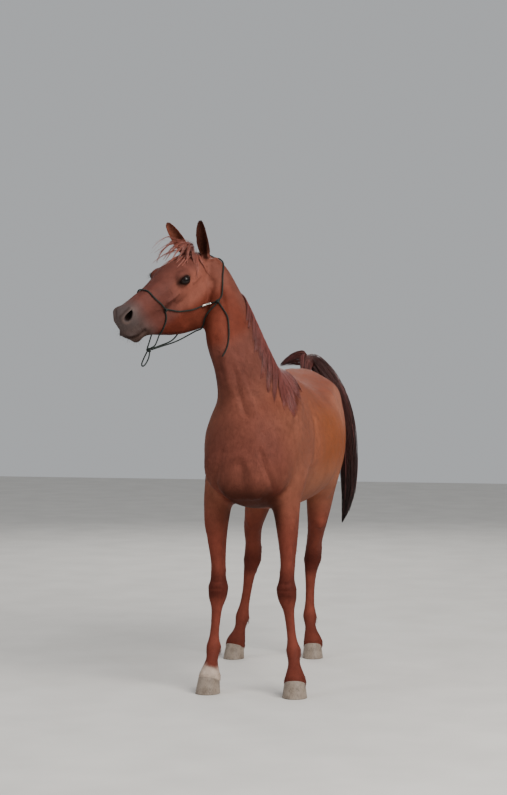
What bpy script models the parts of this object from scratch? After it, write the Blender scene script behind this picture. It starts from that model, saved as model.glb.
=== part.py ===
"""A chestnut Arabian horse standing square-on with its head raised and turned to its right, life size.

The flesh is modelled whole: lofts for the trunk, neck, head and limbs, and stretched spheres for the
muscles, all joined by a voxel remesh and smoothed. Thin discs then part it into the pieces that a person
would name. Hooves, eyes, ears, mane, forelock, tail and the rope halter are pieces of their own.
Metres, +Z up. The horse faces -Y and its left side is +X. Stations are given from the fore hooves' line
and the finished model is moved so that its origin is on the floor under the middle of its box.
"""

import math

import bmesh
import bpy
import numpy as np
from mathutils import Matrix, Vector
from mathutils.bvhtree import BVHTree

# ---------------------------------------------------------------- driving dimensions
WITHERS_HEIGHT = 1.48
HEAD_LENGTH = 0.60
GAP = 0.0004  # clearance between neighbouring pieces
VOXEL = 0.0065  # grain of the remesh that joins the flesh
FLESH_TRIANGLES = 2800

# ---------------------------------------------------------------- colours (linear)
COLOURS = {
    "coat": ((0.235, 0.072, 0.040), 0.55),
    "hair": ((0.110, 0.022, 0.018), 0.60),
    "tail_hair": ((0.050, 0.016, 0.013), 0.60),
    "horn": ((0.46, 0.40, 0.33), 0.55),
    "eye": ((0.012, 0.008, 0.007), 0.08),
    "rope": ((0.022, 0.028, 0.024), 0.80),
    "steel": ((0.62, 0.60, 0.57), 0.25),
}


def clear_scene():
    for obj in list(bpy.data.objects):
        bpy.data.objects.remove(obj)


def material(name):
    """The named finish, made once."""
    found = bpy.data.materials.get(name)
    if found:
        return found
    colour, roughness = COLOURS[name]
    made = bpy.data.materials.new(name)
    made.use_nodes = True
    shader = made.node_tree.nodes["Principled BSDF"]
    shader.inputs["Base Color"].default_value = (*colour, 1.0)
    shader.inputs["Roughness"].default_value = roughness
    shader.inputs["Metallic"].default_value = 1.0 if name == "steel" else 0.0
    return made


# ---------------------------------------------------------------- small geometry helpers
def smooth_run(stations, per_span):
    """Stations joined by a Catmull-Rom curve in every one of their numbers."""
    rows = np.array(stations, float)
    padded = np.vstack([2 * rows[0] - rows[1], rows, 2 * rows[-1] - rows[-2]])
    out = []
    for i in range(len(rows) - 1):
        a, b, c, d = padded[i : i + 4]
        for t in np.arange(per_span) / per_span:
            out.append(0.5 * (2 * b + (c - a) * t + (2 * a - 5 * b + 4 * c - d) * t**2 + (3 * b - a - 3 * c + d) * t**3))
    out.append(rows[-1])
    return np.array(out)


def section(centre, side, up, half_width, rise, drop, power, count):
    """A closed ring: a superellipse with its own height above and below the centre."""
    points = []
    for k in range(count):
        angle = 2 * math.pi * k / count
        c, s = math.cos(angle), math.sin(angle)
        across = math.copysign(abs(c) ** (2 / power), c) * half_width
        along = math.copysign(abs(s) ** (2 / power), s) * (rise if s > 0 else drop)
        points.append(centre + side * across + up * along)
    return points


def mesh_object(name, mesh_or_bm, collection, finish="coat"):
    if isinstance(mesh_or_bm, bmesh.types.BMesh):
        mesh = bpy.data.meshes.new(name)
        mesh_or_bm.to_mesh(mesh)
        mesh_or_bm.free()
    else:
        mesh = mesh_or_bm
    obj = bpy.data.objects.new(name, mesh)
    collection.objects.link(obj)
    obj.data.materials.clear()
    obj.data.materials.append(material(finish))
    return obj


def loft(rings):
    """A closed bmesh through rings of equal length, with both ends capped."""
    bm = bmesh.new()
    loops = [[bm.verts.new(p) for p in ring] for ring in rings]
    count = len(rings[0])
    for a, b in zip(loops, loops[1:]):
        for k in range(count):
            j = (k + 1) % count
            bm.faces.new((a[k], a[j], b[j], b[k]))
    bm.faces.new(loops[0])
    bm.faces.new(loops[-1])
    bmesh.ops.recalc_face_normals(bm, faces=bm.faces)
    return bm


def body_loft(stations, per_span=3, count=32):
    """Trunk-like loft: each station is (y, top, widest height, bottom, half width, power)."""
    rings = []
    for y, top, wide, bottom, half_width, power in smooth_run(stations, per_span):
        centre = Vector((0, y, wide))
        rings.append(
            section(centre, Vector((1, 0, 0)), Vector((0, 0, 1)), half_width, top - wide, wide - bottom, power, count)
        )
    return loft(rings)


def limb_loft(stations, per_span=3, count=20, side_hint=(1, 0, 0)):
    """Limb-like loft along its centres: each station is (x, y, z, half width, front, back, power).

    Front and back are measured square to the limb's own line, so a bent limb keeps its thickness.
    """
    rows = smooth_run(stations, per_span)
    centres = [Vector(r[:3]) for r in rows]
    rings = []
    for i, row in enumerate(rows):
        before, after = centres[max(i - 1, 0)], centres[min(i + 1, len(rows) - 1)]
        axis = (after - before).normalized()
        hint = Vector(side_hint)
        side = (hint - axis * hint.dot(axis)).normalized()
        front = side.cross(axis).normalized()
        if front.y > 0 or (abs(front.y) < 1e-6 and front.z < 0):
            front = -front
        rings.append(section(centres[i], side, front, row[3], row[4], row[5], row[6], count))
    return loft(rings)


def blob(centre, radii, turn=(0, 0, 0)):
    """A stretched sphere: one muscle or bony prominence. Turn is in degrees about X, Y and Z."""
    bm = bmesh.new()
    bmesh.ops.create_uvsphere(bm, u_segments=20, v_segments=12, radius=1)
    spin = Matrix.Identity(4)
    for angle, axis in zip(turn, "XYZ"):
        spin = Matrix.Rotation(math.radians(angle), 4, axis) @ spin
    bmesh.ops.transform(bm, matrix=Matrix.Translation(centre) @ spin @ Matrix.Diagonal((*radii, 1)), verts=bm.verts)
    return bm


def merged(parts):
    """Several bmeshes as one, each still a closed shell."""
    whole = bmesh.new()
    for part in parts:
        mesh = bpy.data.meshes.new("part")
        part.to_mesh(mesh)
        part.free()
        whole.from_mesh(mesh)
        bpy.data.meshes.remove(mesh)
    return whole


def mirrored(bm):
    """A copy on the other side of the body's middle plane."""
    twin = bm.copy()
    bmesh.ops.scale(twin, vec=(-1, 1, 1), verts=twin.verts)
    bmesh.ops.reverse_faces(twin, faces=twin.faces)
    return twin


def moved(bm, matrix):
    bmesh.ops.transform(bm, matrix=matrix, verts=bm.verts)
    return bm


def baked(obj, name):
    """The object as its modifiers leave it, as a new mesh."""
    graph = bpy.context.evaluated_depsgraph_get()
    graph.update()
    mesh = bpy.data.meshes.new_from_object(obj.evaluated_get(graph))
    mesh.name = name
    return mesh


# ---------------------------------------------------------------- trunk and neck
def trunk_parts():
    trunk = body_loft(
        [
            # y, top, widest, bottom, half width, power
            (-0.248, 1.12, 1.03, 0.96, 0.055, 2.0),
            (-0.222, 1.215, 1.05, 0.910, 0.122, 2.0),
            (-0.155, 1.315, 1.09, 0.872, 0.180, 2.0),
            (-0.060, 1.385, 1.11, 0.842, 0.219, 2.0),
            (0.060, 1.420, 1.11, 0.826, 0.234, 2.0),
            (0.190, 1.455, 1.10, 0.815, 0.246, 1.85),
            (0.310, WITHERS_HEIGHT - 0.002, 1.10, 0.805, 0.264, 1.80),
            (0.450, 1.436, 1.09, 0.800, 0.284, 1.95),
            (0.600, 1.408, 1.10, 0.803, 0.291, 2.10),
            (0.730, 1.420, 1.12, 0.825, 0.284, 2.15),
            (0.850, 1.452, 1.15, 0.875, 0.264, 2.05),
            (0.960, 1.466, 1.17, 0.930, 0.248, 2.0),
            (1.060, 1.450, 1.18, 0.960, 0.222, 2.0),
            (1.140, 1.405, 1.18, 1.000, 0.165, 2.0),
            (1.185, 1.330, 1.18, 1.080, 0.080, 2.0),
        ]
    )
    shapes = [trunk]
    for shape in (
        blob((0.128, -0.110, 1.035), (0.074, 0.105, 0.130), (20, 0, 0)),  # point of the shoulder
        blob((0.150, 0.050, 1.15), (0.060, 0.110, 0.240), (-26, 0, -6)),  # shoulder blade
        blob((0.172, 0.075, 0.985), (0.058, 0.105, 0.135), (-35, 0, 0)),  # triceps
        blob((0.064, -0.180, 0.985), (0.068, 0.058, 0.110), (-12, 14, 0)),  # breast muscle
        blob((0.192, 0.790, 1.315), (0.042, 0.055, 0.045)),  # point of the hip
        blob((0.105, 0.930, 1.290), (0.125, 0.210, 0.130), (6, 0, 0)),  # rump
        blob((0.128, 1.040, 1.130), (0.108, 0.145, 0.270), (6, 0, 0)),  # outer thigh
        blob((0.150, 0.890, 1.030), (0.092, 0.150, 0.220), (-14, 0, 0)),  # front of the thigh
        blob((0.165, 0.760, 0.960), (0.070, 0.120, 0.090), (-30, 0, 0)),  # flank fold
    ):
        shapes += [mirrored(shape), shape]
    return shapes


# Centre of each neck section, half width, towards the throat, towards the crest, power.
NECK_STATIONS = [
    (0.000, 0.200, 1.120, 0.190, 0.330, 0.260, 2.1),
    (-0.004, 0.120, 1.240, 0.168, 0.300, 0.240, 2.05),
    (-0.020, 0.045, 1.360, 0.138, 0.250, 0.215, 2.0),
    (-0.048, -0.010, 1.490, 0.112, 0.200, 0.185, 1.95),
    (-0.088, -0.044, 1.620, 0.096, 0.184, 0.160, 1.95),
    (-0.128, -0.052, 1.750, 0.082, 0.088, 0.128, 1.95),
    (-0.160, -0.048, 1.865, 0.070, 0.062, 0.070, 2.0),
    (-0.198, -0.044, 1.940, 0.056, 0.050, 0.040, 2.0),
]
NECK_TURN = 36  # degrees that the top of the neck has turned to the right


def neck_frames(per_span):
    """Centre, left, crest direction and sizes of the neck's sections from the withers to the poll."""
    rows = smooth_run(NECK_STATIONS, per_span)
    centres = [Vector(r[:3]) for r in rows]
    frames = []
    for i, row in enumerate(rows):
        axis = (centres[min(i + 1, len(rows) - 1)] - centres[max(i - 1, 0)]).normalized()
        share = i / (len(rows) - 1)
        turn = math.radians(NECK_TURN) * share**1.3
        side = Vector((math.cos(turn), -math.sin(turn), 0))
        side = (side - axis * side.dot(axis)).normalized()
        crest = axis.cross(side).normalized()
        if crest.y < 0:
            crest = -crest
        frames.append((centres[i], side, crest, row))
    return frames


def neck_part():
    return loft([section(c, side, crest, row[3], row[5], row[4], row[6], 28) for c, side, crest, row in neck_frames(4)])


# ---------------------------------------------------------------- head, in its own frame
# x to the horse's left, y from the poll to the muzzle, z from the jaw to the forehead.
HEAD_AT = Vector((-0.228, -0.046, 1.971))
HEAD_TURN = 31.5  # to the right of straight ahead, degrees
HEAD_NOD = 28.5  # nose below level, degrees
HEAD_TILT = -7  # crown leaning to the left, degrees
EYE_RADIUS = 0.0240
EYE_AT = Vector((0.0880, 0.222, -0.006))


def head_matrix():
    """Head frame to horse frame: its y looks forward and down, turned to the right."""
    aim = Matrix.Rotation(math.radians(180 - HEAD_TURN), 4, "Z")
    nod = Matrix.Rotation(math.radians(-HEAD_NOD), 4, "X")
    tilt = Matrix.Rotation(math.radians(HEAD_TILT), 4, "Y")
    flip = Matrix.Diagonal((-1, 1, 1, 1))  # the head's x is the horse's left
    return Matrix.Translation(HEAD_AT) @ aim @ nod @ tilt @ flip


def head_parts():
    skull = body_loft(
        [
            # y, top, widest, bottom, half width, power
            (-0.040, -0.020, -0.055, -0.100, 0.035, 2.0),
            (-0.010, 0.010, -0.045, -0.115, 0.058, 2.0),
            (0.050, 0.032, -0.035, -0.120, 0.075, 2.1),
            (0.110, 0.045, -0.032, -0.125, 0.086, 2.2),
            (0.175, 0.051, -0.028, -0.125, 0.093, 2.3),
            (0.240, 0.044, -0.030, -0.120, 0.087, 2.3),
            (0.305, 0.031, -0.040, -0.115, 0.071, 2.4),
            (0.375, 0.022, -0.042, -0.108, 0.057, 2.4),
            (0.445, 0.019, -0.040, -0.098, 0.051, 2.4),
            (0.500, 0.015, -0.038, -0.092, 0.053, 2.4),
            (0.545, 0.006, -0.036, -0.084, 0.049, 2.3),
            (0.575, -0.012, -0.036, -0.074, 0.036, 2.2),
            (0.590, -0.032, -0.040, -0.060, 0.018, 2.0),
        ],
        count=28,
    )
    jaw = body_loft(
        [
            (0.050, -0.060, -0.120, -0.200, 0.048, 2.2),
            (0.110, -0.060, -0.140, -0.258, 0.064, 2.2),
            (0.185, -0.060, -0.150, -0.282, 0.070, 2.2),
            (0.250, -0.060, -0.150, -0.274, 0.066, 2.2),
            (0.320, -0.060, -0.140, -0.245, 0.055, 2.2),
            (0.390, -0.050, -0.125, -0.206, 0.044, 2.2),
            (0.450, -0.050, -0.112, -0.178, 0.038, 2.1),
            (0.495, -0.050, -0.108, -0.172, 0.038, 2.1),
            (0.540, -0.055, -0.100, -0.158, 0.035, 2.1),
            (0.568, -0.060, -0.095, -0.130, 0.024, 2.0),
            (0.578, -0.070, -0.090, -0.108, 0.010, 2.0),
        ],
        count=24,
    )
    shapes = [skull, jaw]
    for shape in (
        blob((0.062, 0.145, -0.150), (0.034, 0.105, 0.122)),  # cheek disc
        blob((0.076, 0.216, -0.002), (0.028, 0.047, 0.037), (0, 0, -10)),  # rim of the eye socket
        blob((0.064, 0.285, -0.055), (0.017, 0.075, 0.013), (-8, 0, 10)),  # facial crest
        blob((0.036, 0.530, -0.024), (0.023, 0.038, 0.034), (-20, 0, 6)),  # nostril
    ):
        shapes += [mirrored(shape), shape]
    return [moved(shape, head_matrix()) for shape in shapes]


# ---------------------------------------------------------------- limbs
# x is out from the body's middle; each row is (out, y, z, half width, front, back, power).
FORE_ROWS = [
    (0.150, 0.055, 1.060, 0.075, 0.130, 0.120, 2.1),
    (0.158, 0.060, 0.960, 0.074, 0.120, 0.110, 2.1),
    (0.165, 0.052, 0.870, 0.067, 0.105, 0.098, 2.1),
    (0.169, 0.046, 0.790, 0.058, 0.086, 0.082, 2.1),
    (0.172, 0.043, 0.700, 0.047, 0.068, 0.068, 2.1),
    (0.174, 0.043, 0.600, 0.036, 0.052, 0.050, 2.1),
    (0.175, 0.045, 0.520, 0.035, 0.045, 0.042, 2.2),
    (0.176, 0.044, 0.468, 0.045, 0.052, 0.046, 2.5),
    (0.178, 0.046, 0.420, 0.041, 0.045, 0.043, 2.4),
    (0.179, 0.048, 0.375, 0.027, 0.036, 0.036, 2.1),
    (0.181, 0.049, 0.300, 0.0225, 0.029, 0.031, 2.1),
    (0.183, 0.048, 0.240, 0.0240, 0.030, 0.034, 2.1),
    (0.185, 0.044, 0.192, 0.0340, 0.037, 0.046, 2.2),
    (0.187, 0.018, 0.145, 0.0280, 0.030, 0.032, 2.1),
    (0.189, -0.008, 0.105, 0.0400, 0.040, 0.038, 2.1),
    (0.190, -0.022, 0.075, 0.0500, 0.052, 0.052, 2.1),
    (0.190, -0.030, 0.045, 0.0500, 0.050, 0.050, 2.1),
]
HIND_ROWS = [
    (0.120, 0.985, 1.200, 0.105, 0.190, 0.195, 2.1),
    (0.128, 0.970, 1.080, 0.098, 0.185, 0.195, 2.1),
    (0.134, 0.950, 0.960, 0.086, 0.185, 0.185, 2.1),
    (0.136, 0.958, 0.860, 0.072, 0.155, 0.160, 2.1),
    (0.134, 0.985, 0.760, 0.060, 0.116, 0.125, 2.1),
    (0.130, 1.025, 0.670, 0.048, 0.080, 0.090, 2.1),
    (0.126, 1.075, 0.590, 0.040, 0.062, 0.082, 2.1),
    (0.124, 1.108, 0.530, 0.043, 0.062, 0.074, 2.2),
    (0.124, 1.120, 0.480, 0.042, 0.052, 0.050, 2.4),
    (0.125, 1.118, 0.420, 0.031, 0.042, 0.042, 2.2),
    (0.127, 1.113, 0.340, 0.0250, 0.033, 0.034, 2.1),
    (0.129, 1.108, 0.255, 0.0260, 0.033, 0.036, 2.1),
    (0.131, 1.102, 0.200, 0.0350, 0.038, 0.047, 2.2),
    (0.133, 1.078, 0.150, 0.0285, 0.031, 0.033, 2.1),
    (0.135, 1.052, 0.108, 0.0400, 0.040, 0.038, 2.1),
    (0.136, 1.038, 0.078, 0.0490, 0.052, 0.052, 2.1),
    (0.136, 1.030, 0.045, 0.0490, 0.050, 0.050, 2.1),
]

# Where each hoof stands against its rows above: (name, rows, side, out, back, toe turned out in degrees).
LIMBS = [
    ("fore_left", FORE_ROWS, 1, 0.008, -0.010, 10),
    ("fore_right", FORE_ROWS, -1, 0.010, 0.010, 8),
    ("hind_left", HIND_ROWS, 1, -0.074, 0.030, 12),
    ("hind_right", HIND_ROWS, -1, 0.178, -0.075, 14),
]


# How far a leg stands off its straight line across the body: (height, distance), from the ground up.
SWAYS = {
    "fore_left": ((0.08, 0), (0.165, -0.013), (0.21, -0.018), (0.31, -0.025), (0.39, -0.031), (0.45, -0.037),
                  (0.53, -0.033), (0.62, -0.026), (0.72, -0.025), (0.87, -0.026), (0.96, -0.012), (1.06, 0)),
    "fore_right": ((0.10, 0), (0.21, -0.007), (0.38, 0.003), (0.47, 0.007), (0.60, 0.002), (0.74, -0.010),
                   (0.87, -0.010), (1.00, 0)),
    "hind_left": ((0.08, 0), (0.108, -0.009), (0.15, -0.018), (0.20, -0.025), (0.30, -0.022), (0.42, -0.016),
                  (0.58, -0.012), (0.70, 0)),
    "hind_right": ((0.08, 0), (0.108, 0.008), (0.15, 0.011), (0.20, 0.013), (0.26, 0.022), (0.34, 0.034),
                   (0.42, 0.042), (0.48, 0.033), (0.53, 0.022), (0.66, -0.003), (0.76, 0)),
}


def sway(name, height):
    """How far a leg stands off its straight line at a height."""
    marks = SWAYS[name]
    for (low, start), (high, end) in zip(marks, marks[1:]):
        if low <= height <= high:
            return start + (end - start) * (height - low) / (high - low)
    return 0.0


def stance(name, rows, side, out, back):
    """The limb's rows as it stands: shifted in proportion to how far below the body they are."""
    top = rows[2][2]
    settled = 0.10 if rows is FORE_ROWS else 0.42
    placed = []
    for x, y, z, *rest in rows:
        share = min(max((top - z) / (top - settled), 0), 1)
        placed.append((side * (x + out * share) + sway(name, z), y + back * share, z, *rest))
    return placed


HOOF_TOE, HOOF_HEEL = 0.078, 0.042  # wall heights
CORONET = math.atan2(HOOF_TOE - HOOF_HEEL, 0.10)


def limb_parts():
    shapes = []
    for name, rows, side, out, back, turned in LIMBS:
        placed = stance(name, rows, side, out, back)
        shapes.append(limb_loft(placed))
        by_height = {round(r[2], 3): Vector(r[:3]) for r in placed}
        if rows is FORE_ROWS:
            knee = by_height[0.468]
            shapes.append(blob(knee + Vector((0, 0.046, 0.010)), (0.018, 0.016, 0.026)))
            shapes.append(blob(by_height[0.87] + Vector((side * 0.005, 0.085, 0.015)), (0.035, 0.045, 0.045)))
            shapes.append(blob(by_height[0.79] + Vector((side * 0.022, -0.035, 0.0)), (0.034, 0.040, 0.100)))
        else:
            hock = by_height[0.53]
            shapes.append(blob(hock + Vector((0, 0.052, 0.026)), (0.024, 0.030, 0.050), (-14, 0, 0)))
            shapes.append(blob(by_height[0.76] + Vector((side * 0.018, -0.03, 0.01)), (0.042, 0.060, 0.120), (-18, 0, 0)))
            shapes.append(blob(by_height[0.96] + Vector((side * 0.020, -0.135, 0.0)), (0.055, 0.050, 0.060)))
    return shapes


# ---------------------------------------------------------------- the flesh, joined and smoothed
def fade(value, low, high):
    """0 below low, 1 above high, eased between."""
    t = min(max((value - low) / (high - low), 0), 1)
    return t * t * (3 - 2 * t)


def softness(point):
    """How strongly the joined flesh is smoothed there: most on the trunk, least on head and lower legs."""
    head = fade(1.72 - point.z, 0, 0.12)
    leg = fade(point.z, 0.62, 0.90)
    return 0.12 + 0.88 * min(head, leg)


def neck_base(point):
    """1 where the neck grows out of the chest, fading to 0 around it."""
    return 1 - fade((point - Vector((0, -0.02, 1.30))).length, 0.24, 0.40)


def detail(point):
    """How much of its mesh a place keeps when the flesh is thinned."""
    head = fade(point.z, 1.62, 1.74)
    leg = 1 - fade(point.z, 0.50, 0.85)
    return min(1.0, 0.14 + 0.55 * head + 0.34 * leg)


def with_weights(obj, name, weight):
    group = obj.vertex_groups.new(name=name)
    for vertex in obj.data.vertices:
        group.add([vertex.index], weight(vertex.co), "REPLACE")
    return group


def flesh(helpers):
    parts = trunk_parts() + [neck_part()] + head_parts() + limb_parts()
    raw = mesh_object("flesh_raw", merged(parts), helpers)
    remesh = raw.modifiers.new("join", "REMESH")
    remesh.mode = "VOXEL"
    remesh.voxel_size = VOXEL
    joined = mesh_object("flesh_joined", baked(raw, "flesh_joined"), helpers)
    with_weights(joined, "soft", softness)
    with_weights(joined, "base", neck_base)
    for group, rounds in (("soft", 60), ("base", 150), ("base", 150), ("soft", 60)):
        smooth = joined.modifiers.new("settle", "SMOOTH")
        smooth.factor = 0.5
        smooth.iterations = rounds
        smooth.vertex_group = group
    settled = mesh_object("flesh_settled", baked(joined, "flesh_settled"), helpers)
    with_weights(settled, "thin", lambda p: 1 - detail(p))
    thin = settled.modifiers.new("thin", "DECIMATE")
    triangles = sum(len(p.vertices) - 2 for p in settled.data.polygons)
    thin.ratio = FLESH_TRIANGLES / triangles
    thin.vertex_group = "thin"
    thin.vertex_group_factor = 1.0
    return mesh_object("flesh", baked(settled, "flesh"), helpers)


# ---------------------------------------------------------------- cutting, cleaning, laying on
def cleaned(bm):
    """Triangles only, with no doubled points and no slivers of no area."""
    bmesh.ops.remove_doubles(bm, verts=bm.verts, dist=0.00005)
    bmesh.ops.triangulate(bm, faces=bm.faces)
    bmesh.ops.dissolve_degenerate(bm, edges=bm.edges, dist=0.00005)
    bmesh.ops.triangulate(bm, faces=bm.faces)
    loose = [v for v in bm.verts if not v.link_faces]
    bmesh.ops.delete(bm, geom=loose, context="VERTS")
    bmesh.ops.recalc_face_normals(bm, faces=bm.faces)
    return bm


def combine(target, other, operation="DIFFERENCE"):
    """The target cut by, or joined to, another closed object."""
    change = target.modifiers.new("combine", "BOOLEAN")
    change.operation = operation
    change.solver = "EXACT"
    change.object = other
    mesh = baked(target, target.name)
    target.modifiers.clear()
    bm = bmesh.new()
    bm.from_mesh(mesh)
    cleaned(bm)
    bm.to_mesh(mesh)
    bm.free()
    old = target.data
    target.data = mesh
    bpy.data.meshes.remove(old)
    target.data.materials.clear()
    target.data.materials.append(material(target["finish"]))


def without_crumbs(obj):
    """Only the object's largest loose piece, when a cut has left crumbs beside it."""
    bm = bmesh.new()
    bm.from_mesh(obj.data)
    waiting = set(bm.faces)
    pieces = []
    while waiting:
        stack = [waiting.pop()]
        found = []
        while stack:
            face = stack.pop()
            found.append(face)
            for edge in face.edges:
                for other in edge.link_faces:
                    if other in waiting:
                        waiting.remove(other)
                        stack.append(other)
        pieces.append(found)
    pieces.sort(key=lambda p: -sum(f.calc_area() for f in p))
    bmesh.ops.delete(bm, geom=[f for p in pieces[1:] for f in p], context="FACES")
    bmesh.ops.delete(bm, geom=[v for v in bm.verts if not v.link_faces], context="VERTS")
    bm.to_mesh(obj.data)
    bm.free()


def swollen(obj, amount, helpers):
    """A copy of the object grown along its normals, used to leave a gap."""
    copy = mesh_object(obj.name + "_grown", obj.data.copy(), helpers)
    grow = copy.modifiers.new("grow", "DISPLACE")
    grow.strength = amount
    grow.mid_level = 0.0
    return mesh_object(obj.name + "_swollen", baked(copy, "swollen"), helpers)


def thinned(bm, name, voxel, triangles, collection, finish, rounds=2):
    """Overlapping closed shells joined, settled and reduced to about so many triangles."""
    raw = mesh_object(name + "_raw", bm, collection, finish)
    join = raw.modifiers.new("join", "REMESH")
    join.mode = "VOXEL"
    join.voxel_size = voxel
    settle = raw.modifiers.new("settle", "SMOOTH")
    settle.iterations = rounds
    full = mesh_object(name + "_full", baked(raw, name), collection, finish)
    count = sum(len(p.vertices) - 2 for p in full.data.polygons)
    reduce = full.modifiers.new("reduce", "DECIMATE")
    reduce.ratio = min(1.0, triangles / count)
    return baked(full, name)


def finished(name, mesh_or_bm, collection, finish):
    obj = mesh_object(name, mesh_or_bm, collection, finish)
    obj["finish"] = finish
    return obj


def disc(centre, normal, radius, thickness=GAP):
    """A thin round plate square to the normal."""
    bm = bmesh.new()
    bmesh.ops.create_cone(bm, cap_ends=True, segments=24, radius1=radius, radius2=radius, depth=thickness)
    turn = Vector(normal).normalized().to_track_quat("Z", "Y").to_matrix().to_4x4()
    return moved(bm, Matrix.Translation(centre) @ turn)


def tube(points, radii, count=6, flat=1.0, hint=(0, 0, 1)):
    """A closed tube along points; flat squeezes it along the hint's direction."""
    points = [Vector(p) for p in points]
    rings = []
    for i, centre in enumerate(points):
        axis = (points[min(i + 1, len(points) - 1)] - points[max(i - 1, 0)]).normalized()
        up = Vector(hint) - axis * Vector(hint).dot(axis)
        if up.length < 0.05:
            up = Vector((1, 0, 0)) - axis * axis.x
        up.normalize()
        side = axis.cross(up).normalized()
        rings.append(section(centre, side, up, radii[i], radii[i] * flat, radii[i] * flat, 2.0, count))
    return loft(rings)


def even_run(points, spacing):
    """A smooth curve through points, sampled evenly."""
    fine = [Vector(p) for p in smooth_run(points, 12)]
    lengths = [0.0]
    for a, b in zip(fine, fine[1:]):
        lengths.append(lengths[-1] + (b - a).length)
    steps = max(2, round(lengths[-1] / spacing))
    out = []
    for k in range(steps + 1):
        want = lengths[-1] * k / steps
        i = next(j for j in range(1, len(lengths)) if lengths[j] >= want - 1e-9)
        t = (want - lengths[i - 1]) / max(lengths[i] - lengths[i - 1], 1e-9)
        out.append(fine[i - 1].lerp(fine[i], t))
    return out


def laid(points, surface, lift, rounds=3):
    """Points brought to a set height above the surface, then evened so the run has no kinks."""
    for turn in range(rounds):
        snapped = []
        for p in points:
            near, normal, index, distance = surface.find_nearest(p)
            snapped.append(near + normal * lift)
        if turn < rounds - 1:
            points = [snapped[0]] + [
                (a + b * 2 + c) / 4 for a, b, c in zip(snapped, snapped[1:], snapped[2:])
            ] + [snapped[-1]]
    return snapped


# ---------------------------------------------------------------- hooves
def coronet_plane(placed, turned):
    """Centre of the coronet and its normal, which leans so that the toe wall is the taller."""
    foot = Vector(placed[-1][:3])
    turn = Matrix.Rotation(math.radians(turned), 3, "Z")
    normal = turn @ Vector((0, math.sin(CORONET), math.cos(CORONET)))
    return Vector((foot.x, foot.y, (HOOF_TOE + HOOF_HEEL) / 2)), normal


def hoof_part(placed, turned, width):
    """A hoof from its flat sole to the slanted coronet."""
    foot = Vector(placed[-1][:3])
    turn = Matrix.Rotation(math.radians(turned), 3, "Z")
    rings = []
    for share in (0.0, 0.5, 0.93, 1.0):
        ring = []
        for k in range(16):
            angle = 2 * math.pi * k / 16
            c, s = math.cos(angle), math.sin(angle)
            half = width * (1.0 - 0.16 * share - (0.05 if share == 1.0 else 0.0))
            front = width * 1.12 * (1.0 - 0.10 * share)
            flat_back = 0.78 if s < 0 else 1.0
            x = math.copysign(abs(c) ** 0.9, c) * half
            y = -(s * front * flat_back) - 0.016 * (1 - share)
            wall = (HOOF_TOE + HOOF_HEEL) / 2 - math.tan(CORONET) * y
            ring.append(foot + turn @ Vector((x, y, 0)) - Vector((0, 0, foot.z)) + Vector((0, 0, wall * share)))
        rings.append(ring)
    return loft(rings)


# ---------------------------------------------------------------- ears
EAR_LENGTH = 0.150
EARS = [
    # name, root in the head frame, tip in the horse frame, opening faces (horse frame)
    ("ear_left", (0.058, 0.030, 0.022), (-0.222, -0.120, 2.124), (-0.10, -0.95, 0.0)),
    ("ear_right", (-0.056, 0.034, 0.022), (-0.385, -0.075, 2.122), (0.20, -0.95, 0.10)),
]


def ear_part(root, tip, facing):
    """A cupped shell, widest a third of the way up and drawn in to a curved tip."""
    axis = (tip - root).normalized()
    front = (facing - axis * facing.dot(axis)).normalized()
    side = axis.cross(front).normalized()
    length = (tip - root).length
    rings = []
    for t, width, cup in (
        (-0.10, 0.020, 150),
        (0.08, 0.024, 140),
        (0.30, 0.0285, 114),
        (0.52, 0.0272, 98),
        (0.74, 0.0200, 86),
        (0.90, 0.0105, 78),
        (1.00, 0.0030, 74),
    ):
        centre = root + axis * (length * t) + front * (0.010 * math.sin(math.pi * min(max(t, 0), 1)) - 0.012 * t**3)
        half = math.radians(cup)
        thick = 0.0042 * (1 - 0.55 * max(t, 0))
        outer, inner = [], []
        for k in range(8):
            angle = -half + 2 * half * k / 7
            way = side * math.sin(angle) - front * math.cos(angle)
            outer.append(centre + way * width)
            inner.append(centre + way * max(width - thick, width * 0.25))
        rings.append(outer + inner[::-1])
    return loft(rings)


# ---------------------------------------------------------------- halter
ROPE = 0.0034
# Runs of rope in the head frame, on the horse's left; the right side is their mirror image.
NOSE_KNOT = (0.051, 0.347, -0.088)
CHEEK_KNOT = (0.150, 0.122, -0.158)
CHIN_KNOT = (0.0, 0.461, -0.237)
NOSEBAND = [NOSE_KNOT, (0.055, 0.368, -0.050), (0.052, 0.387, -0.018), (0.026, 0.391, 0.016), (0.0, 0.392, 0.024)]
CHEEK_ROPE = [NOSE_KNOT, (0.055, 0.310, -0.115), (0.061, 0.277, -0.136), (0.079, 0.233, -0.150)]
CHEEK_ROPE += [(0.095, 0.164, -0.159), CHEEK_KNOT]
CROWN_ROPE = [CHEEK_KNOT, (0.153, 0.077, -0.123), (0.140, 0.048, -0.089), (0.122, 0.022, -0.055)]
CROWN_ROPE += [(0.065, -0.020, -0.005), (0.0, -0.035, 0.010)]
THROAT_ROPE = [CHEEK_KNOT, (0.138, 0.138, -0.185), (0.116, 0.166, -0.218), (0.088, 0.182, -0.252), (0.050, 0.205, -0.284)]
DROP_ROPE = [NOSE_KNOT, (0.049, 0.355, -0.129), (0.040, 0.381, -0.166), (0.030, 0.402, -0.200)]
CORD = [(-0.103, -0.140, 1.742), (-0.084, -0.156, 1.699), (-0.071, -0.174, 1.641), (-0.067, -0.191, 1.588)]
CORD += [(-0.078, -0.201, 1.544), (-0.092, -0.206, 1.515)]


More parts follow.
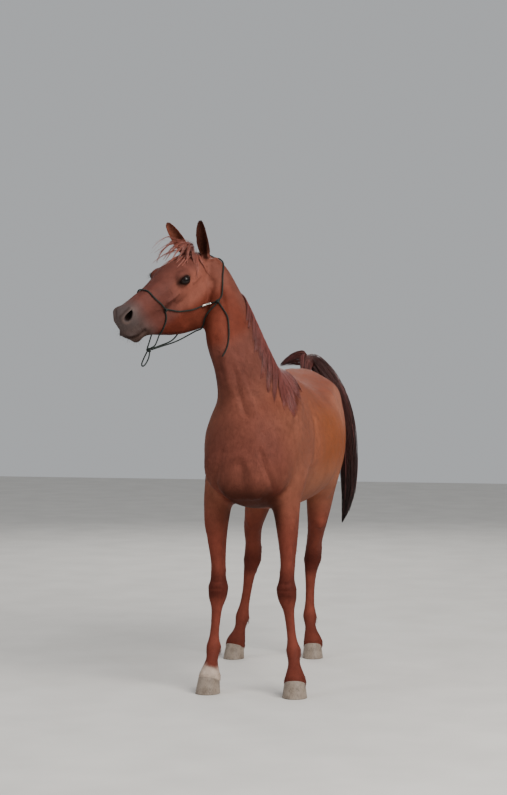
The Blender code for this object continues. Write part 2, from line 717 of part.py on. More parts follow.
def knot_part(centre, axis, size=0.0095):
    """A tied lump of rope: a short fat turn."""
    bm = bmesh.new()
    bmesh.ops.create_uvsphere(bm, u_segments=8, v_segments=5, radius=1)
    turn = Vector(axis).normalized().to_track_quat("Z", "Y").to_matrix().to_4x4()
    return moved(bm, Matrix.Translation(centre) @ turn @ Matrix.Diagonal((size * 0.85, size * 0.85, size, 1)))


def halter(surface, grown_flesh, collection, helpers):
    """The rope halter: knots first, then the runs of rope that end against them."""
    frame = head_matrix()

    def place(x, y, z, side=1):
        return frame @ Vector((side * x, y, z))

    def on_face(points, side=1):
        run = even_run([place(*p, side) for p in points], 0.026)
        return laid(run, surface, ROPE + 0.0022)

    knots = {}
    for side, label in ((1, "left"), (-1, "right")):
        for knot, at in (("nose", NOSE_KNOT), ("cheek", CHEEK_KNOT)):
            near, normal, index, distance = surface.find_nearest(place(*at, side))
            knots[f"{knot}_knot_{label}"] = (near + normal * 0.0102, normal, 0.0095)
    chin = place(*CHIN_KNOT)
    knots["chin_knot"] = (chin, frame.to_3x3() @ Vector((0, 0.5, -1)), 0.014)

    runs = {}
    for name, points in (("noseband", NOSEBAND), ("crown", CROWN_ROPE)):
        runs[name] = on_face(points, 1) + on_face(points, -1)[::-1][1:]
    for side, label in ((1, "left"), (-1, "right")):
        runs[f"cheek_rope_{label}"] = on_face(CHEEK_ROPE, side)
        throat = on_face(THROAT_ROPE, side)
        slack = [throat[-1], place(0.016, 0.300, -0.276, side), place(0.008, 0.390, -0.256, side)]
        slack.append(place(0.006, 0.452, -0.240, side))
        runs[f"throat_rope_{label}"] = throat + even_run(slack, 0.03)[1:]
        drop = on_face(DROP_ROPE, side)
        slack = [drop[-1], place(0.020, 0.436, -0.224, side), place(0.009, 0.459, -0.229, side)]
        runs[f"drop_rope_{label}"] = drop + even_run(slack, 0.02)[1:]
    loop = [(0.006, 0.464, -0.243), (0.014, 0.490, -0.262), (0.011, 0.516, -0.279), (0.0, 0.524, -0.284)]
    loop += [(-0.011, 0.514, -0.278), (-0.013, 0.488, -0.261), (-0.0065, 0.466, -0.241)]
    runs["chin_loop"] = even_run([place(*p) for p in loop], 0.015)
    near, normal, index, distance = surface.find_nearest(Vector(CORD[0]))
    cord = laid(even_run(CORD, 0.025), surface, ROPE + 0.003)
    cord[0] = knots["cheek_knot_left"][0]
    runs["cord"] = cord

    grown = [knot_part(centre, axis, size + GAP) for centre, axis, size in knots.values()]
    cutter = mesh_object("knots_grown", merged(grown), helpers)
    for name, (centre, axis, size) in knots.items():
        finished("halter_" + name, knot_part(centre, axis, size), collection, "rope")
    made = {}
    for name, run in runs.items():
        radii = [ROPE] * len(run)
        rope = finished("halter_" + name, tube(run, radii, 5), collection, "rope")
        combine(rope, cutter)
        if name not in ("chin_loop", "cord"):
            combine(rope, grown_flesh)
        made[name] = rope
    for label in ("left", "right"):
        combine(made[f"throat_rope_{label}"], swollen(made[f"cheek_rope_{label}"], GAP, helpers))
        without_crumbs(made[f"throat_rope_{label}"])
    # A short bright sleeve round the left cheek rope, just before its knot.
    run = runs["cheek_rope_left"]
    at = [p for p in run if 0.030 < (p - knots["cheek_knot_left"][0]).length < 0.075]
    sleeve = finished("halter_sleeve", tube(at, [0.0056] * len(at), 8), collection, "steel")
    combine(sleeve, mesh_object("sleeve_bore", tube(run, [ROPE + 2 * GAP] * len(run), 6), helpers))
    return made


# ---------------------------------------------------------------- mane, forelock and tail
# Each row of the mane runs from the crest (a share of the neck from withers to poll, or a place) to its tips.
MANE_ROWS = [
    (0.785, (-0.052, -0.041, 1.795)),
    (0.715, (-0.028, -0.067, 1.723)),
    (0.643, (-0.012, -0.070, 1.678)),
    (0.571, (0.001, -0.074, 1.633)),
    (0.500, (0.020, -0.078, 1.567)),
    (0.430, (0.033, -0.095, 1.500)),
    (0.360, (0.052, -0.098, 1.412)),
    ((-0.005, 0.200, 1.455), (0.085, -0.081, 1.345)),
    ((0.000, 0.235, 1.468), (0.119, -0.094, 1.279)),
    ((0.010, 0.265, 1.475), (0.150, -0.095, 1.226)),
    ((0.030, 0.285, 1.470), (0.178, -0.010, 1.236)),
    ((0.050, 0.300, 1.462), (0.192, 0.100, 1.285)),
    ((0.070, 0.310, 1.452), (0.172, 0.250, 1.350)),
]
MANE_DEPTH = 0.014


def mane_part(surface):
    """A slab of hair on the left of the neck, following its surface from the crest to the tips."""
    frames = neck_frames(20)
    rows = []
    for crest, tip in MANE_ROWS:
        if isinstance(crest, float):
            centre, side, up, row = frames[round(crest * (len(frames) - 1))]
            crest = centre + up * row[5] - side * 0.004
        rows.append((*crest, *tip))
    fine = smooth_run(rows, 2)
    rings = []
    for k, row in enumerate(fine):
        edge = 0.45 if k in (0, len(fine) - 1) else 1.0
        inner, outer = [], []
        for j in range(5):
            t = j / 4
            near, normal, index, distance = surface.find_nearest(Vector(row[:3]).lerp(Vector(row[3:]), t))
            depth = MANE_DEPTH * edge * (1 - 0.5 * t**2)
            inner.append(near - normal * 0.008)
            outer.append(near + normal * depth)
        rings.append(outer + inner[::-1])
    return loft(rings)


FORELOCK = [
    [(0.008, 0.030, 0.030), (0.020, 0.090, 0.050), (0.032, 0.155, 0.055), (0.044, 0.205, 0.045)],
    [(0.014, 0.036, 0.032), (0.052, 0.088, 0.040), (0.082, 0.135, 0.010), (0.098, 0.172, -0.012)],
    [(-0.008, 0.030, 0.030), (-0.018, 0.090, 0.050), (-0.028, 0.150, 0.055), (-0.034, 0.190, 0.050)],
    [(-0.014, 0.036, 0.032), (-0.052, 0.088, 0.040), (-0.080, 0.130, 0.020), (-0.092, 0.160, 0.005)],
]
WISPS = [
    [(-0.262, -0.088, 1.980), (-0.305, -0.122, 2.034), (-0.376, -0.120, 2.058), (-0.421, -0.118, 2.030)],
    [(-0.262, -0.088, 1.980), (-0.325, -0.125, 1.988), (-0.388, -0.130, 1.965), (-0.437, -0.128, 1.930)],
]
WISPS[0].append((-0.450, -0.112, 1.968))


def forelock_part(surface):
    frame = head_matrix()
    locks = [moved(blob((0.0, 0.040, 0.034), (0.026, 0.020, 0.012)), frame)]
    for points in FORELOCK:
        run = laid(even_run([frame @ Vector(p) for p in points], 0.020), surface, 0.004)
        count = len(run) - 1
        radii = [0.012 + 0.012 * math.sin(math.pi * (i / count) ** 0.8) * (1 - i / count) - 0.0085 * i / count for i in range(count + 1)]
        locks.append(tube(run, radii, 10, 0.45, surface.find_nearest(run[0])[1]))
    for points in WISPS:
        run = even_run(points, 0.025)
        count = len(run) - 1
        locks.append(tube(run, [0.0075 - 0.0045 * i / count for i in range(count + 1)], 8))
    return merged(locks)


# Centre line of the tail with its half width and half depth.
DOCK = [(0.0, 1.110, 1.330, 0.036), (0.0, 1.165, 1.395, 0.032), (-0.008, 1.215, 1.460, 0.029)]
DOCK += [(-0.018, 1.250, 1.505, 0.026), (-0.010, 1.275, 1.512, 0.022), (0.010, 1.285, 1.500, 0.017)]
TAIL = [
    (-0.150, 1.262, 1.470, 0.010, 0.012),
    (-0.115, 1.268, 1.490, 0.026, 0.026),
    (-0.070, 1.274, 1.505, 0.040, 0.038),
    (-0.015, 1.280, 1.508, 0.048, 0.046),
    (0.040, 1.286, 1.478, 0.056, 0.050),
    (0.086, 1.290, 1.415, 0.064, 0.052),
    (0.130, 1.294, 1.325, 0.070, 0.052),
    (0.164, 1.296, 1.235, 0.070, 0.050),
    (0.186, 1.296, 1.135, 0.068, 0.048),
    (0.199, 1.293, 1.030, 0.064, 0.045),
    (0.206, 1.288, 0.930, 0.058, 0.040),
    (0.206, 1.282, 0.840, 0.050, 0.034),
    (0.198, 1.276, 0.760, 0.036, 0.024),
    (0.184, 1.270, 0.700, 0.018, 0.013),
    (0.174, 1.267, 0.665, 0.004, 0.004),
]


def tail_parts():
    dock = tube([d[:3] for d in DOCK], [d[3] for d in DOCK], 12, 1.0, (1, 0, 0))
    rows = smooth_run(TAIL, 1)
    rings = []
    for i, row in enumerate(rows):
        centre = Vector(row[:3])
        axis = (Vector(rows[min(i + 1, len(rows) - 1)][:3]) - Vector(rows[max(i - 1, 0)][:3])).normalized()
        depth = (Vector((0, 1, 0)) - axis * axis.y).normalized()
        across = axis.cross(depth).normalized()
        rings.append(section(centre, across, depth, row[3], row[4], row[4], 2.0, 11))
    return dock, loft(rings)


# ---------------------------------------------------------------- parting the flesh into named pieces
def leg_planes(rows, placed):
    """Where a limb is parted: (centre, normal) below the body, below the knee or hock, below the fetlock."""
    def at(height):
        line = smooth_run(placed, 8)
        i = min(range(1, len(line) - 1), key=lambda k: abs(line[k][2] - height))
        return Vector(line[i][:3]), (Vector(line[i + 1][:3]) - Vector(line[i - 1][:3])).normalized()

    if rows is FORE_ROWS:
        return [(at(0.785)[0], Vector((0, 0, 1))), at(0.425), at(0.165)]
    return [(at(0.835)[0], Vector((0, -0.12, 1))), at(0.455), at(0.172)]


def part_flesh(body, collection, helpers):
    """Thin plates part the flesh; each loose piece is then named by the place it holds."""
    frame = head_matrix()
    plates = [
        disc((-0.008, 0.040, 1.305), (-0.03, -0.50, 0.86), 0.43),
        disc((-0.160, -0.050, 1.785), (-0.40, -0.70, 0.59), 0.33),
    ]
    seeds = {
        "trunk": Vector((0, 0.52, 1.12)),
        "neck": Vector((-0.06, 0.03, 1.56)),
        "head": frame @ Vector((0, 0.26, -0.08)),
    }
    for name, rows, side, out, back, turned in LIMBS:
        placed = stance(name, rows, side, out, back)
        planes = leg_planes(rows, placed)
        for (centre, normal), radius in zip(planes, (0.18, 0.075, 0.075)):
            plates.append(disc(centre, normal, radius))
        names = ("forearm", "cannon", "pastern") if rows is FORE_ROWS else ("gaskin", "cannon", "pastern")
        heights = (0.60, 0.28, 0.12) if rows is FORE_ROWS else (0.66, 0.30, 0.12)
        for piece, height in zip(names, heights):
            nearest = min(smooth_run(placed, 8), key=lambda r: abs(r[2] - height))
            seeds[f"{name}_{piece}"] = Vector(nearest[:3])
    combine(body, mesh_object("plates", merged(plates), helpers))
    bm = bmesh.new()
    bm.from_mesh(body.data)
    bm.faces.ensure_lookup_table()
    waiting = set(bm.faces)
    pieces = []
    while waiting:
        stack = [waiting.pop()]
        found = []
        while stack:
            face = stack.pop()
            found.append(face.index)
            for edge in face.edges:
                for other in edge.link_faces:
                    if other in waiting:
                        waiting.remove(other)
                        stack.append(other)
        pieces.append(sorted(found))
    pieces = sorted((p for p in pieces if len(p) > 30), key=lambda p: p[0])
    made = {}
    for piece in pieces:
        twin = bm.copy()
        twin.faces.ensure_lookup_table()
        keep = set(piece)
        bmesh.ops.delete(twin, geom=[f for f in twin.faces if f.index not in keep], context="FACES")
        bmesh.ops.delete(twin, geom=[v for v in twin.verts if not v.link_faces], context="VERTS")
        low = Vector([min(v.co[k] for v in twin.verts) for k in range(3)])
        high = Vector([max(v.co[k] for v in twin.verts) for k in range(3)])
        middle = (low + high) / 2
        name = min(seeds, key=lambda n: (seeds[n] - middle).length)
        made[name] = finished(name, twin, collection, "coat")
    bm.free()
    return made


def main():
    clear_scene()
    scene = bpy.context.scene.collection
    horse = bpy.data.collections.new("horse")
    helpers = bpy.data.collections.new("helpers")
    scene.children.link(horse)
    scene.children.link(helpers)

    body = flesh(helpers)
    body["finish"] = "coat"
    whole = bmesh.new()
    whole.from_mesh(body.data)
    surface = BVHTree.FromBMesh(whole)
    whole.free()
    grown = swollen(body, GAP, helpers)

    frame = head_matrix()
    cutters = []
    for side, label in ((1, "left"), (-1, "right")):
        centre = frame @ Vector((side * EYE_AT.x, EYE_AT.y, EYE_AT.z))
        for radius, keep in ((EYE_RADIUS, True), (EYE_RADIUS + GAP, False)):
            ball = bmesh.new()
            bmesh.ops.create_uvsphere(ball, u_segments=12, v_segments=6, radius=radius)
            facing = (frame.to_3x3() @ Vector((side, 0.25, 0.1))).to_track_quat("Z", "Y").to_matrix().to_4x4()
            moved(ball, Matrix.Translation(centre) @ facing)
            if keep:
                finished(f"eye_{label}", ball, horse, "eye")
            else:
                cutters.append(ball)
    for name, rows, side, out, back, turned in LIMBS:
        placed = stance(name, rows, side, out, back)
        width = 0.057 if rows is FORE_ROWS else 0.053
        finished(f"{name}_hoof", hoof_part(placed, side * turned, width), horse, "horn")
        centre, normal = coronet_plane(placed, side * turned)
        box = bmesh.new()
        bmesh.ops.create_cube(box, size=0.20)
        lean = normal.to_track_quat("Z", "Y").to_matrix().to_4x4()
        cutters.append(moved(box, Matrix.Translation(centre + normal * (GAP - 0.10)) @ lean))
    combine(body, mesh_object("cutters", merged(cutters), helpers))
    part_flesh(body, horse, helpers)

    ears = []
    for name, root, tip, facing in EARS:
        ear = finished(name, ear_part(frame @ Vector(root), Vector(tip), Vector(facing)), horse, "coat")
        combine(ear, grown)
        ears.append(ear)

    mane = finished("mane", mane_part(surface), horse, "hair")
    combine(mane, grown)
    forelock = finished("forelock", thinned(forelock_part(surface), "forelock", 0.0025, 180, helpers, "hair"), horse, "hair")
    combine(forelock, grown)
    for ear in ears:
        combine(forelock, swollen(ear, GAP, helpers))
    without_crumbs(forelock)
    dock, hair = tail_parts()
    dock = finished("tail_dock", dock, horse, "tail_hair")
    combine(dock, grown)
    hair = finished("tail_hair", hair, horse, "tail_hair")
    combine(hair, swollen(dock, GAP, helpers))
    halter(surface, grown, horse, helpers)

    for obj in list(helpers.objects):
        bpy.data.objects.remove(obj)
    bpy.data.collections.remove(helpers)
    points = [v.co.copy() for obj in horse.objects for v in obj.data.vertices]
    low = [min(p[k] for p in points) for k in range(3)]
    high = [max(p[k] for p in points) for k in range(3)]
    shift = Vector((-(low[0] + high[0]) / 2, -(low[1] + high[1]) / 2, -low[2]))
    for obj in horse.objects:
        obj.data.transform(Matrix.Translation(shift))
        for polygon in obj.data.polygons:
            polygon.use_smooth = False
    print("shift", [round(v, 4) for v in shift], "box", [round(h - l, 3) for l, h in zip(low, high)])
    total = 0
    for obj in sorted(horse.objects, key=lambda o: o.name):
        triangles = sum(len(p.vertices) - 2 for p in obj.data.polygons)
        total += triangles
        print(obj.name, triangles)
    print("pieces", len(horse.objects), "triangles", total)


main()
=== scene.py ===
# %% [markdown]
# A chestnut Arabian horse in a rope halter, life size, standing square with its head raised and turned
# to its right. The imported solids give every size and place. This notebook dresses them: one skin over all
# the flesh, a short coat, long hair in mane, forelock and tail, horn, eyes and rope.

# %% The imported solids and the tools
import math

import bmesh
import bpy
import numpy as np
from mathutils import Matrix, Vector
from mathutils.bvhtree import BVHTree


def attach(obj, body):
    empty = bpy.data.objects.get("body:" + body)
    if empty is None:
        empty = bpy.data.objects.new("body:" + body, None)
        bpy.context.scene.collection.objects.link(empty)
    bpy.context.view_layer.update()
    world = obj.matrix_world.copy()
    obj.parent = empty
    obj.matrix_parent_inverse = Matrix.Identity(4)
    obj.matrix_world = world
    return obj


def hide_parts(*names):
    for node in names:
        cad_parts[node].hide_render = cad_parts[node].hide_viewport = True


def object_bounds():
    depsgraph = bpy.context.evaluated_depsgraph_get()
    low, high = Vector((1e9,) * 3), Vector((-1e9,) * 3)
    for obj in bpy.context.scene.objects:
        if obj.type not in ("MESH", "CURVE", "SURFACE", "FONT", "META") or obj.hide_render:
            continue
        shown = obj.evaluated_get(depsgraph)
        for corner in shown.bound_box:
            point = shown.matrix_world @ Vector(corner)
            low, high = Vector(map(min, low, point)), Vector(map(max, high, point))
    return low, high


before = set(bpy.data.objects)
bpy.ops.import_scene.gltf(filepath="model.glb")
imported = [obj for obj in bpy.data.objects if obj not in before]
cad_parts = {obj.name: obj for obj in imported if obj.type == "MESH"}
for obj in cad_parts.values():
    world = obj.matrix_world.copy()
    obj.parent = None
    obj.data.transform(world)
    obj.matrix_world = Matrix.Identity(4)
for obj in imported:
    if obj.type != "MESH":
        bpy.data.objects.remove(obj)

cad_low, cad_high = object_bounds()
scene = bpy.context.scene

# %% [markdown]
# The viewer stands about 8.7 m away, a little to the horse's right of straight ahead, with the lens at
# chest height and nearly level. A long lens keeps the body from being stretched. All places below are
# given from the line of the fore hooves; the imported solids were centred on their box, and SHIFT is that
# move. Tables of places are written in millimetres, because a row of whole numbers is easy to read.

# %% Camera and tables
SHIFT = Vector((0.1169, -0.4358, 0.0))
lens = bpy.data.cameras.new("viewer")
lens.lens = 83.8
lens.sensor_width = 36.0
viewer = bpy.data.objects.new("viewer", lens)
scene.collection.objects.link(viewer)
viewer.location = SHIFT + Vector((1.8671, -8.0869, 1.5))
viewer.rotation_euler = (math.radians(90 - 1.16), 0, math.radians(13))
scene.camera = viewer


def numbers(text):
    """Numbers written in thousandths, so millimetres become metres."""
    return tuple(float(word + "e-3") for word in text.split())


def routes(text):
    """A row to a line; its groups of numbers are parted by commas, and words after # are left out."""
    lines = [line.split("#")[0] for line in text.strip().splitlines()]
    return [[numbers(group) for group in line.split(",")] for line in lines]


def table(text):
    """Rows of one group each."""
    return [row[0] for row in routes(text)]


print("camera stands at", np.round(viewer.location, 2).tolist())

# %% [markdown]
# Limbs, ropes and hair all follow curves. A Catmull-Rom curve passes through each of its stations, which
# suits measured places better than a Bezier that only leans towards them. One function smooths every
# number of a station, so a width swells as gently as a line bends.

# %% Curves through stations
def smooth_run(stations, per_span):
    """Stations joined by a Catmull-Rom curve in every one of their numbers."""
    rows = np.array(stations, float)
    padded = np.vstack([2 * rows[0] - rows[1], rows, 2 * rows[-1] - rows[-2]])
    out = []
    for i in range(len(rows) - 1):
        a, b, c, d = padded[i : i + 4]
        for t in np.arange(per_span) / per_span:
            bend = (2 * a - 5 * b + 4 * c - d) * t**2 + (3 * b - a - 3 * c + d) * t**3
            out.append(0.5 * (2 * b + (c - a) * t + bend))
    return np.array(out + [rows[-1]])


def norms(ways):
    """How long each way is."""
    return np.linalg.norm(ways, axis=1)


def travel(line):
    """How far along a line each of its places is."""
    return np.concatenate([[0], np.cumsum(norms(np.diff(line, axis=0)))])


def picked(line, lengths, want):
    """The places on a line at the wanted lengths."""
    return np.stack([np.interp(want, lengths, column) for column in line.T], axis=1)


def even_run(points, spacing):
    """A smooth curve through points, sampled at even steps."""
    fine = smooth_run(points, 12)
    lengths = travel(fine)
    steps = max(2, round(lengths[-1] / spacing))
    return picked(fine, lengths, np.linspace(0, lengths[-1], steps + 1))


def ease(value, low, high):
    """0 below low, 1 above high, eased between."""
    t = np.clip((np.asarray(value, float) - low) / (high - low), 0, 1)
    return t * t * (3 - 2 * t)


# %% [markdown]
# A loft is a row of rings with a skin between them: circles from bmesh.ops.create_circle, each drawn out
# to its section, and bridge_loops between them. The section is a superellipse: power 2 is an oval, and a
# little more squares its shoulders, as on a croup or a muzzle. A muscle is a stretched sphere.

# %% Rings, lofts and muscles
def circle(bm, count):
    """The corners of a new circle, and its edges."""
    verts = bmesh.ops.create_circle(bm, segments=count, radius=1)["verts"]
    return verts, list({e for v in verts for e in v.link_edges})


def ring(bm, centre, side, up, half_width, rise, drop, power, count):
    """A circle drawn out to a superellipse with its own height above and below the centre."""
    verts, edges = circle(bm, count)
    for vertex in verts:
        angle = math.atan2(vertex.co.y, vertex.co.x)
        c, s = math.cos(angle), math.sin(angle)
        across = math.copysign(abs(c) ** (2 / power), c) * half_width
        along = math.copysign(abs(s) ** (2 / power), s) * (rise if s > 0 else drop)
        vertex.co = centre + side * across + up * along
    return edges


def bridged(bm, rings):
    """A skin through rings, both ends closed."""
    for a, b in zip(rings, rings[1:]):
        bmesh.ops.bridge_loops(bm, edges=a + b)
    for end in (rings[0], rings[-1]):
        bmesh.ops.holes_fill(bm, edges=end, sides=0)
    bmesh.ops.recalc_face_normals(bm, faces=bm.faces)
    return bm


def directions(centres):
    """The way along a line at each of its places."""
    last = len(centres) - 1
    return [(centres[min(i + 1, last)] - centres[max(i - 1, 0)]).normalized() for i in range(last + 1)]


def body_loft(stations, per_span=3, count=32):
    """Trunk-like loft: each station is (y, top, widest height, bottom, half width, power)."""
    bm = bmesh.new()
    rings = []
    for y, top, wide, bottom, half_width, power in smooth_run(stations, per_span):
        sizes = (half_width, top - wide, wide - bottom, power, count)
        rings.append(ring(bm, Vector((0, y, wide)), Vector((1, 0, 0)), Vector((0, 0, 1)), *sizes))
    return bridged(bm, rings)


def limb_loft(stations, per_span=3, count=20):
    """Limb-like loft along its centres: each station is (x, y, z, half width, front, back, power)."""
    rows = smooth_run(stations, per_span)
    centres = [Vector(r[:3]) for r in rows]
    bm = bmesh.new()
    rings = []
    for centre, axis, row in zip(centres, directions(centres), rows):
        side = (Vector((1, 0, 0)) - axis * axis.x).normalized()
        front = side.cross(axis).normalized()
        if front.y > 0 or (abs(front.y) < 1e-6 and front.z < 0):
            front = -front
        rings.append(ring(bm, centre, side, front, *row[3:], count))
    return bridged(bm, rings)


def muscle(centre, radii, turn=(0, 0, 0)):
    """A stretched sphere: one muscle or bony prominence. Turn is in degrees about X, Y and Z."""
    bm = bmesh.new()
    bmesh.ops.create_uvsphere(bm, u_segments=20, v_segments=12, radius=1)
    spin = Matrix.Identity(4)
    for angle, axis in zip(turn, "XYZ"):
        spin = Matrix.Rotation(math.radians(angle), 4, axis) @ spin
    return moved(bm, Matrix.Translation(centre) @ spin @ Matrix.Diagonal((*radii, 1)))


def moved(bm, matrix):
    bmesh.ops.transform(bm, matrix=matrix, verts=bm.verts)
    return bm


def both_sides(rows):
    """Each muscle and its copy on the other side of the body."""
    shapes = []
    for row in rows:
        shape = muscle(*row)
        twin = shape.copy()
        bmesh.ops.scale(twin, vec=(-1, 1, 1), verts=twin.verts)
        bmesh.ops.reverse_faces(twin, faces=twin.faces)
        shapes += [twin, shape]
    return shapes


def placed_object(name, data):
    obj = bpy.data.objects.new(name, data)
    scene.collection.objects.link(obj)
    return obj


def from_bmesh(name, bm):
    mesh = bpy.data.meshes.new(name)
    bm.to_mesh(mesh)
    bm.free()
    return placed_object(name, mesh)


def gathered(name, shapes):
    """Several closed shells as one object's mesh."""
    whole = bmesh.new()
    for shape in shapes:
        mesh = bpy.data.meshes.new("shell")
        shape.to_mesh(mesh)
        shape.free()
        whole.from_mesh(mesh)
        bpy.data.meshes.remove(mesh)
    return from_bmesh(name, whole)


def settled(obj, name):
    """The object as its modifiers leave it; the first object goes."""
    graph = bpy.context.evaluated_depsgraph_get()
    graph.update()
    mesh = bpy.data.meshes.new_from_object(obj.evaluated_get(graph))
    mesh.name = name
    bpy.data.objects.remove(obj)
    return placed_object(name, mesh)


# %% [markdown]
# The trunk is one long loft from the breast to the buttocks: a deep chest, a tucked flank, high withers,
# a short back and the level croup of the breed. Stretched spheres stand for the muscles that show through
# a fine coat. They overlap the loft, because the next steps melt them together.

# %% Trunk
TRUNK = table("""
-248 1120 1030 960 55 2000
-222 1215 1050 910 122 2000
-155 1315 1090 872 180 2000
-60 1385 1110 842 219 2000
60 1420 1110 826 234 2000
190 1455 1100 815 246 1850
310 1478 1100 805 264 1800
450 1436 1090 800 284 1950
600 1408 1100 803 291 2100
730 1420 1120 825 284 2150
850 1452 1150 875 264 2050
960 1466 1170 930 248 2000
1060 1450 1180 960 222 2000
1140 1405 1180 1000 165 2000
1185 1330 1180 1080 80 2000
""")
TRUNK_MUSCLES = [
    ((0.128, -0.11, 1.035), (0.074, 0.105, 0.13), (20, 0, 0)),  # point of the shoulder
    ((0.15, 0.05, 1.15), (0.06, 0.11, 0.24), (-26, 0, -6)),  # shoulder blade
    ((0.172, 0.075, 0.985), (0.058, 0.105, 0.135), (-35, 0, 0)),  # triceps
    ((0.064, -0.18, 0.985), (0.068, 0.058, 0.11), (-12, 14, 0)),  # breast muscle
    ((0.192, 0.79, 1.315), (0.042, 0.055, 0.045)),  # point of the hip
    ((0.105, 0.93, 1.29), (0.125, 0.21, 0.13), (6, 0, 0)),  # rump
    ((0.128, 1.04, 1.13), (0.108, 0.145, 0.27), (6, 0, 0)),  # outer thigh
    ((0.15, 0.89, 1.03), (0.092, 0.15, 0.22), (-14, 0, 0)),  # front of the thigh
    ((0.165, 0.76, 0.96), (0.07, 0.12, 0.09), (-30, 0, 0)),  # flank fold
]
trunk_shapes = [body_loft(TRUNK)] + both_sides(TRUNK_MUSCLES)
print("trunk shapes", len(trunk_shapes), "withers", TRUNK[6][1], "m")

# %% [markdown]
# The neck rises almost straight and turns to the right as it goes up. Its sections lie across its own
# line. The mane needs the crest later, so the frames along the neck are kept.

# %% Neck
# Centre of each section, half width, towards the throat, towards the crest, power.
NECK = table("""
0 200 1120 190 330 260 2100
-4 120 1240 168 300 240 2050
-20 45 1360 138 250 215 2000
-48 -10 1490 112 200 185 1950
-88 -44 1620 96 184 160 1950
-128 -52 1750 82 88 128 1950
-160 -48 1865 70 62 70 2000
-198 -44 1940 56 50 40 2000
""")
NECK_TURN = 36  # degrees that the top of the neck has turned to the right


def neck_frames(per_span):
    """Centre, left, crest direction and sizes of the neck's sections from the withers to the poll."""
    rows = smooth_run(NECK, per_span)
    centres = [Vector(r[:3]) for r in rows]
    frames = []
    for i, (axis, row) in enumerate(zip(directions(centres), rows)):
        turn = math.radians(NECK_TURN) * (i / (len(rows) - 1)) ** 1.3
        side = Vector((math.cos(turn), -math.sin(turn), 0))
        side = (side - axis * side.dot(axis)).normalized()
        crest = axis.cross(side).normalized()
        frames.append((centres[i], side, crest if crest.y >= 0 else -crest, row))
    return frames


neck_bm = bmesh.new()
neck_rings = []
for centre, side, crest, row in neck_frames(4):
    neck_rings.append(ring(neck_bm, centre, side, crest, row[3], row[5], row[4], row[6], 28))
neck_shape = bridged(neck_bm, neck_rings)
print("neck sections", len(neck_rings))

# %% [markdown]
# The head is built level and facing ahead, in a frame of its own whose Y runs from the poll to the lips,
# and one matrix turns, nods and tilts it into the pose. The short wedge, wide forehead, dished nose,
# round cheek and small muzzle are what make it an Arabian's.

# %% Head
HEAD_AT = Vector((-0.228, -0.046, 1.971))
HEAD_TURN, HEAD_NOD, HEAD_TILT = 31.5, 28.5, -7  # degrees
SKULL = table("""
-40 -20 -55 -100 35 2000
-10 10 -45 -115 58 2000
50 32 -35 -120 75 2100
110 45 -32 -125 86 2200
175 51 -28 -125 93 2300
240 44 -30 -120 87 2300
305 31 -40 -115 71 2400
375 22 -42 -108 57 2400
445 19 -40 -98 51 2400
500 15 -38 -92 53 2400
545 6 -36 -84 49 2300
575 -12 -36 -74 36 2200
590 -32 -40 -60 18 2000
""")
JAW = table("""
50 -60 -120 -200 48 2200
110 -60 -140 -258 64 2200
185 -60 -150 -282 70 2200
250 -60 -150 -274 66 2200
320 -60 -140 -245 55 2200
390 -50 -125 -206 44 2200
450 -50 -112 -178 38 2100
495 -50 -108 -172 38 2100
540 -55 -100 -158 35 2100
568 -60 -95 -130 24 2000
578 -70 -90 -108 10 2000
""")
HEAD_MUSCLES = [
    ((0.062, 0.145, -0.15), (0.034, 0.105, 0.122)),  # cheek disc
    ((0.076, 0.216, -0.002), (0.028, 0.047, 0.037), (0, 0, -10)),  # rim of the eye socket
    ((0.064, 0.285, -0.055), (0.017, 0.075, 0.013), (-8, 0, 10)),  # facial crest
    ((0.036, 0.53, -0.024), (0.023, 0.038, 0.034), (-20, 0, 6)),  # nostril
]
head_turns = Matrix.Rotation(math.radians(180 - HEAD_TURN), 4, "Z")
head_turns = head_turns @ Matrix.Rotation(math.radians(-HEAD_NOD), 4, "X")
head_turns = head_turns @ Matrix.Rotation(math.radians(HEAD_TILT), 4, "Y") @ Matrix.Diagonal((-1, 1, 1, 1))
HEAD = Matrix.Translation(HEAD_AT) @ head_turns
HEAD_BACK = np.array(HEAD.inverted())
head_axes = np.array(HEAD.to_3x3())
head_shapes = [body_loft(SKULL, 3, 28), body_loft(JAW, 3, 24)] + both_sides(HEAD_MUSCLES)
head_shapes = [moved(shape, HEAD) for shape in head_shapes]
print("head shapes", len(head_shapes))


def in_head(points):
    """Points of the horse's frame as the head sees them: left, towards the lips, up."""
    return points @ HEAD_BACK[:3, :3].T + HEAD_BACK[:3, 3]


def head_point(x, y, z, side=1):
    return HEAD @ Vector((side * x, y, z))


# %% [markdown]
# A horse stands on one toe of each leg, so what looks like a backward knee behind is its heel. Each limb
# is a loft through its joints, narrow at the cannon and broad at knee, hock and fetlock. The four stand
# differently: a stance function shifts each row in proportion to how far it is below the body.

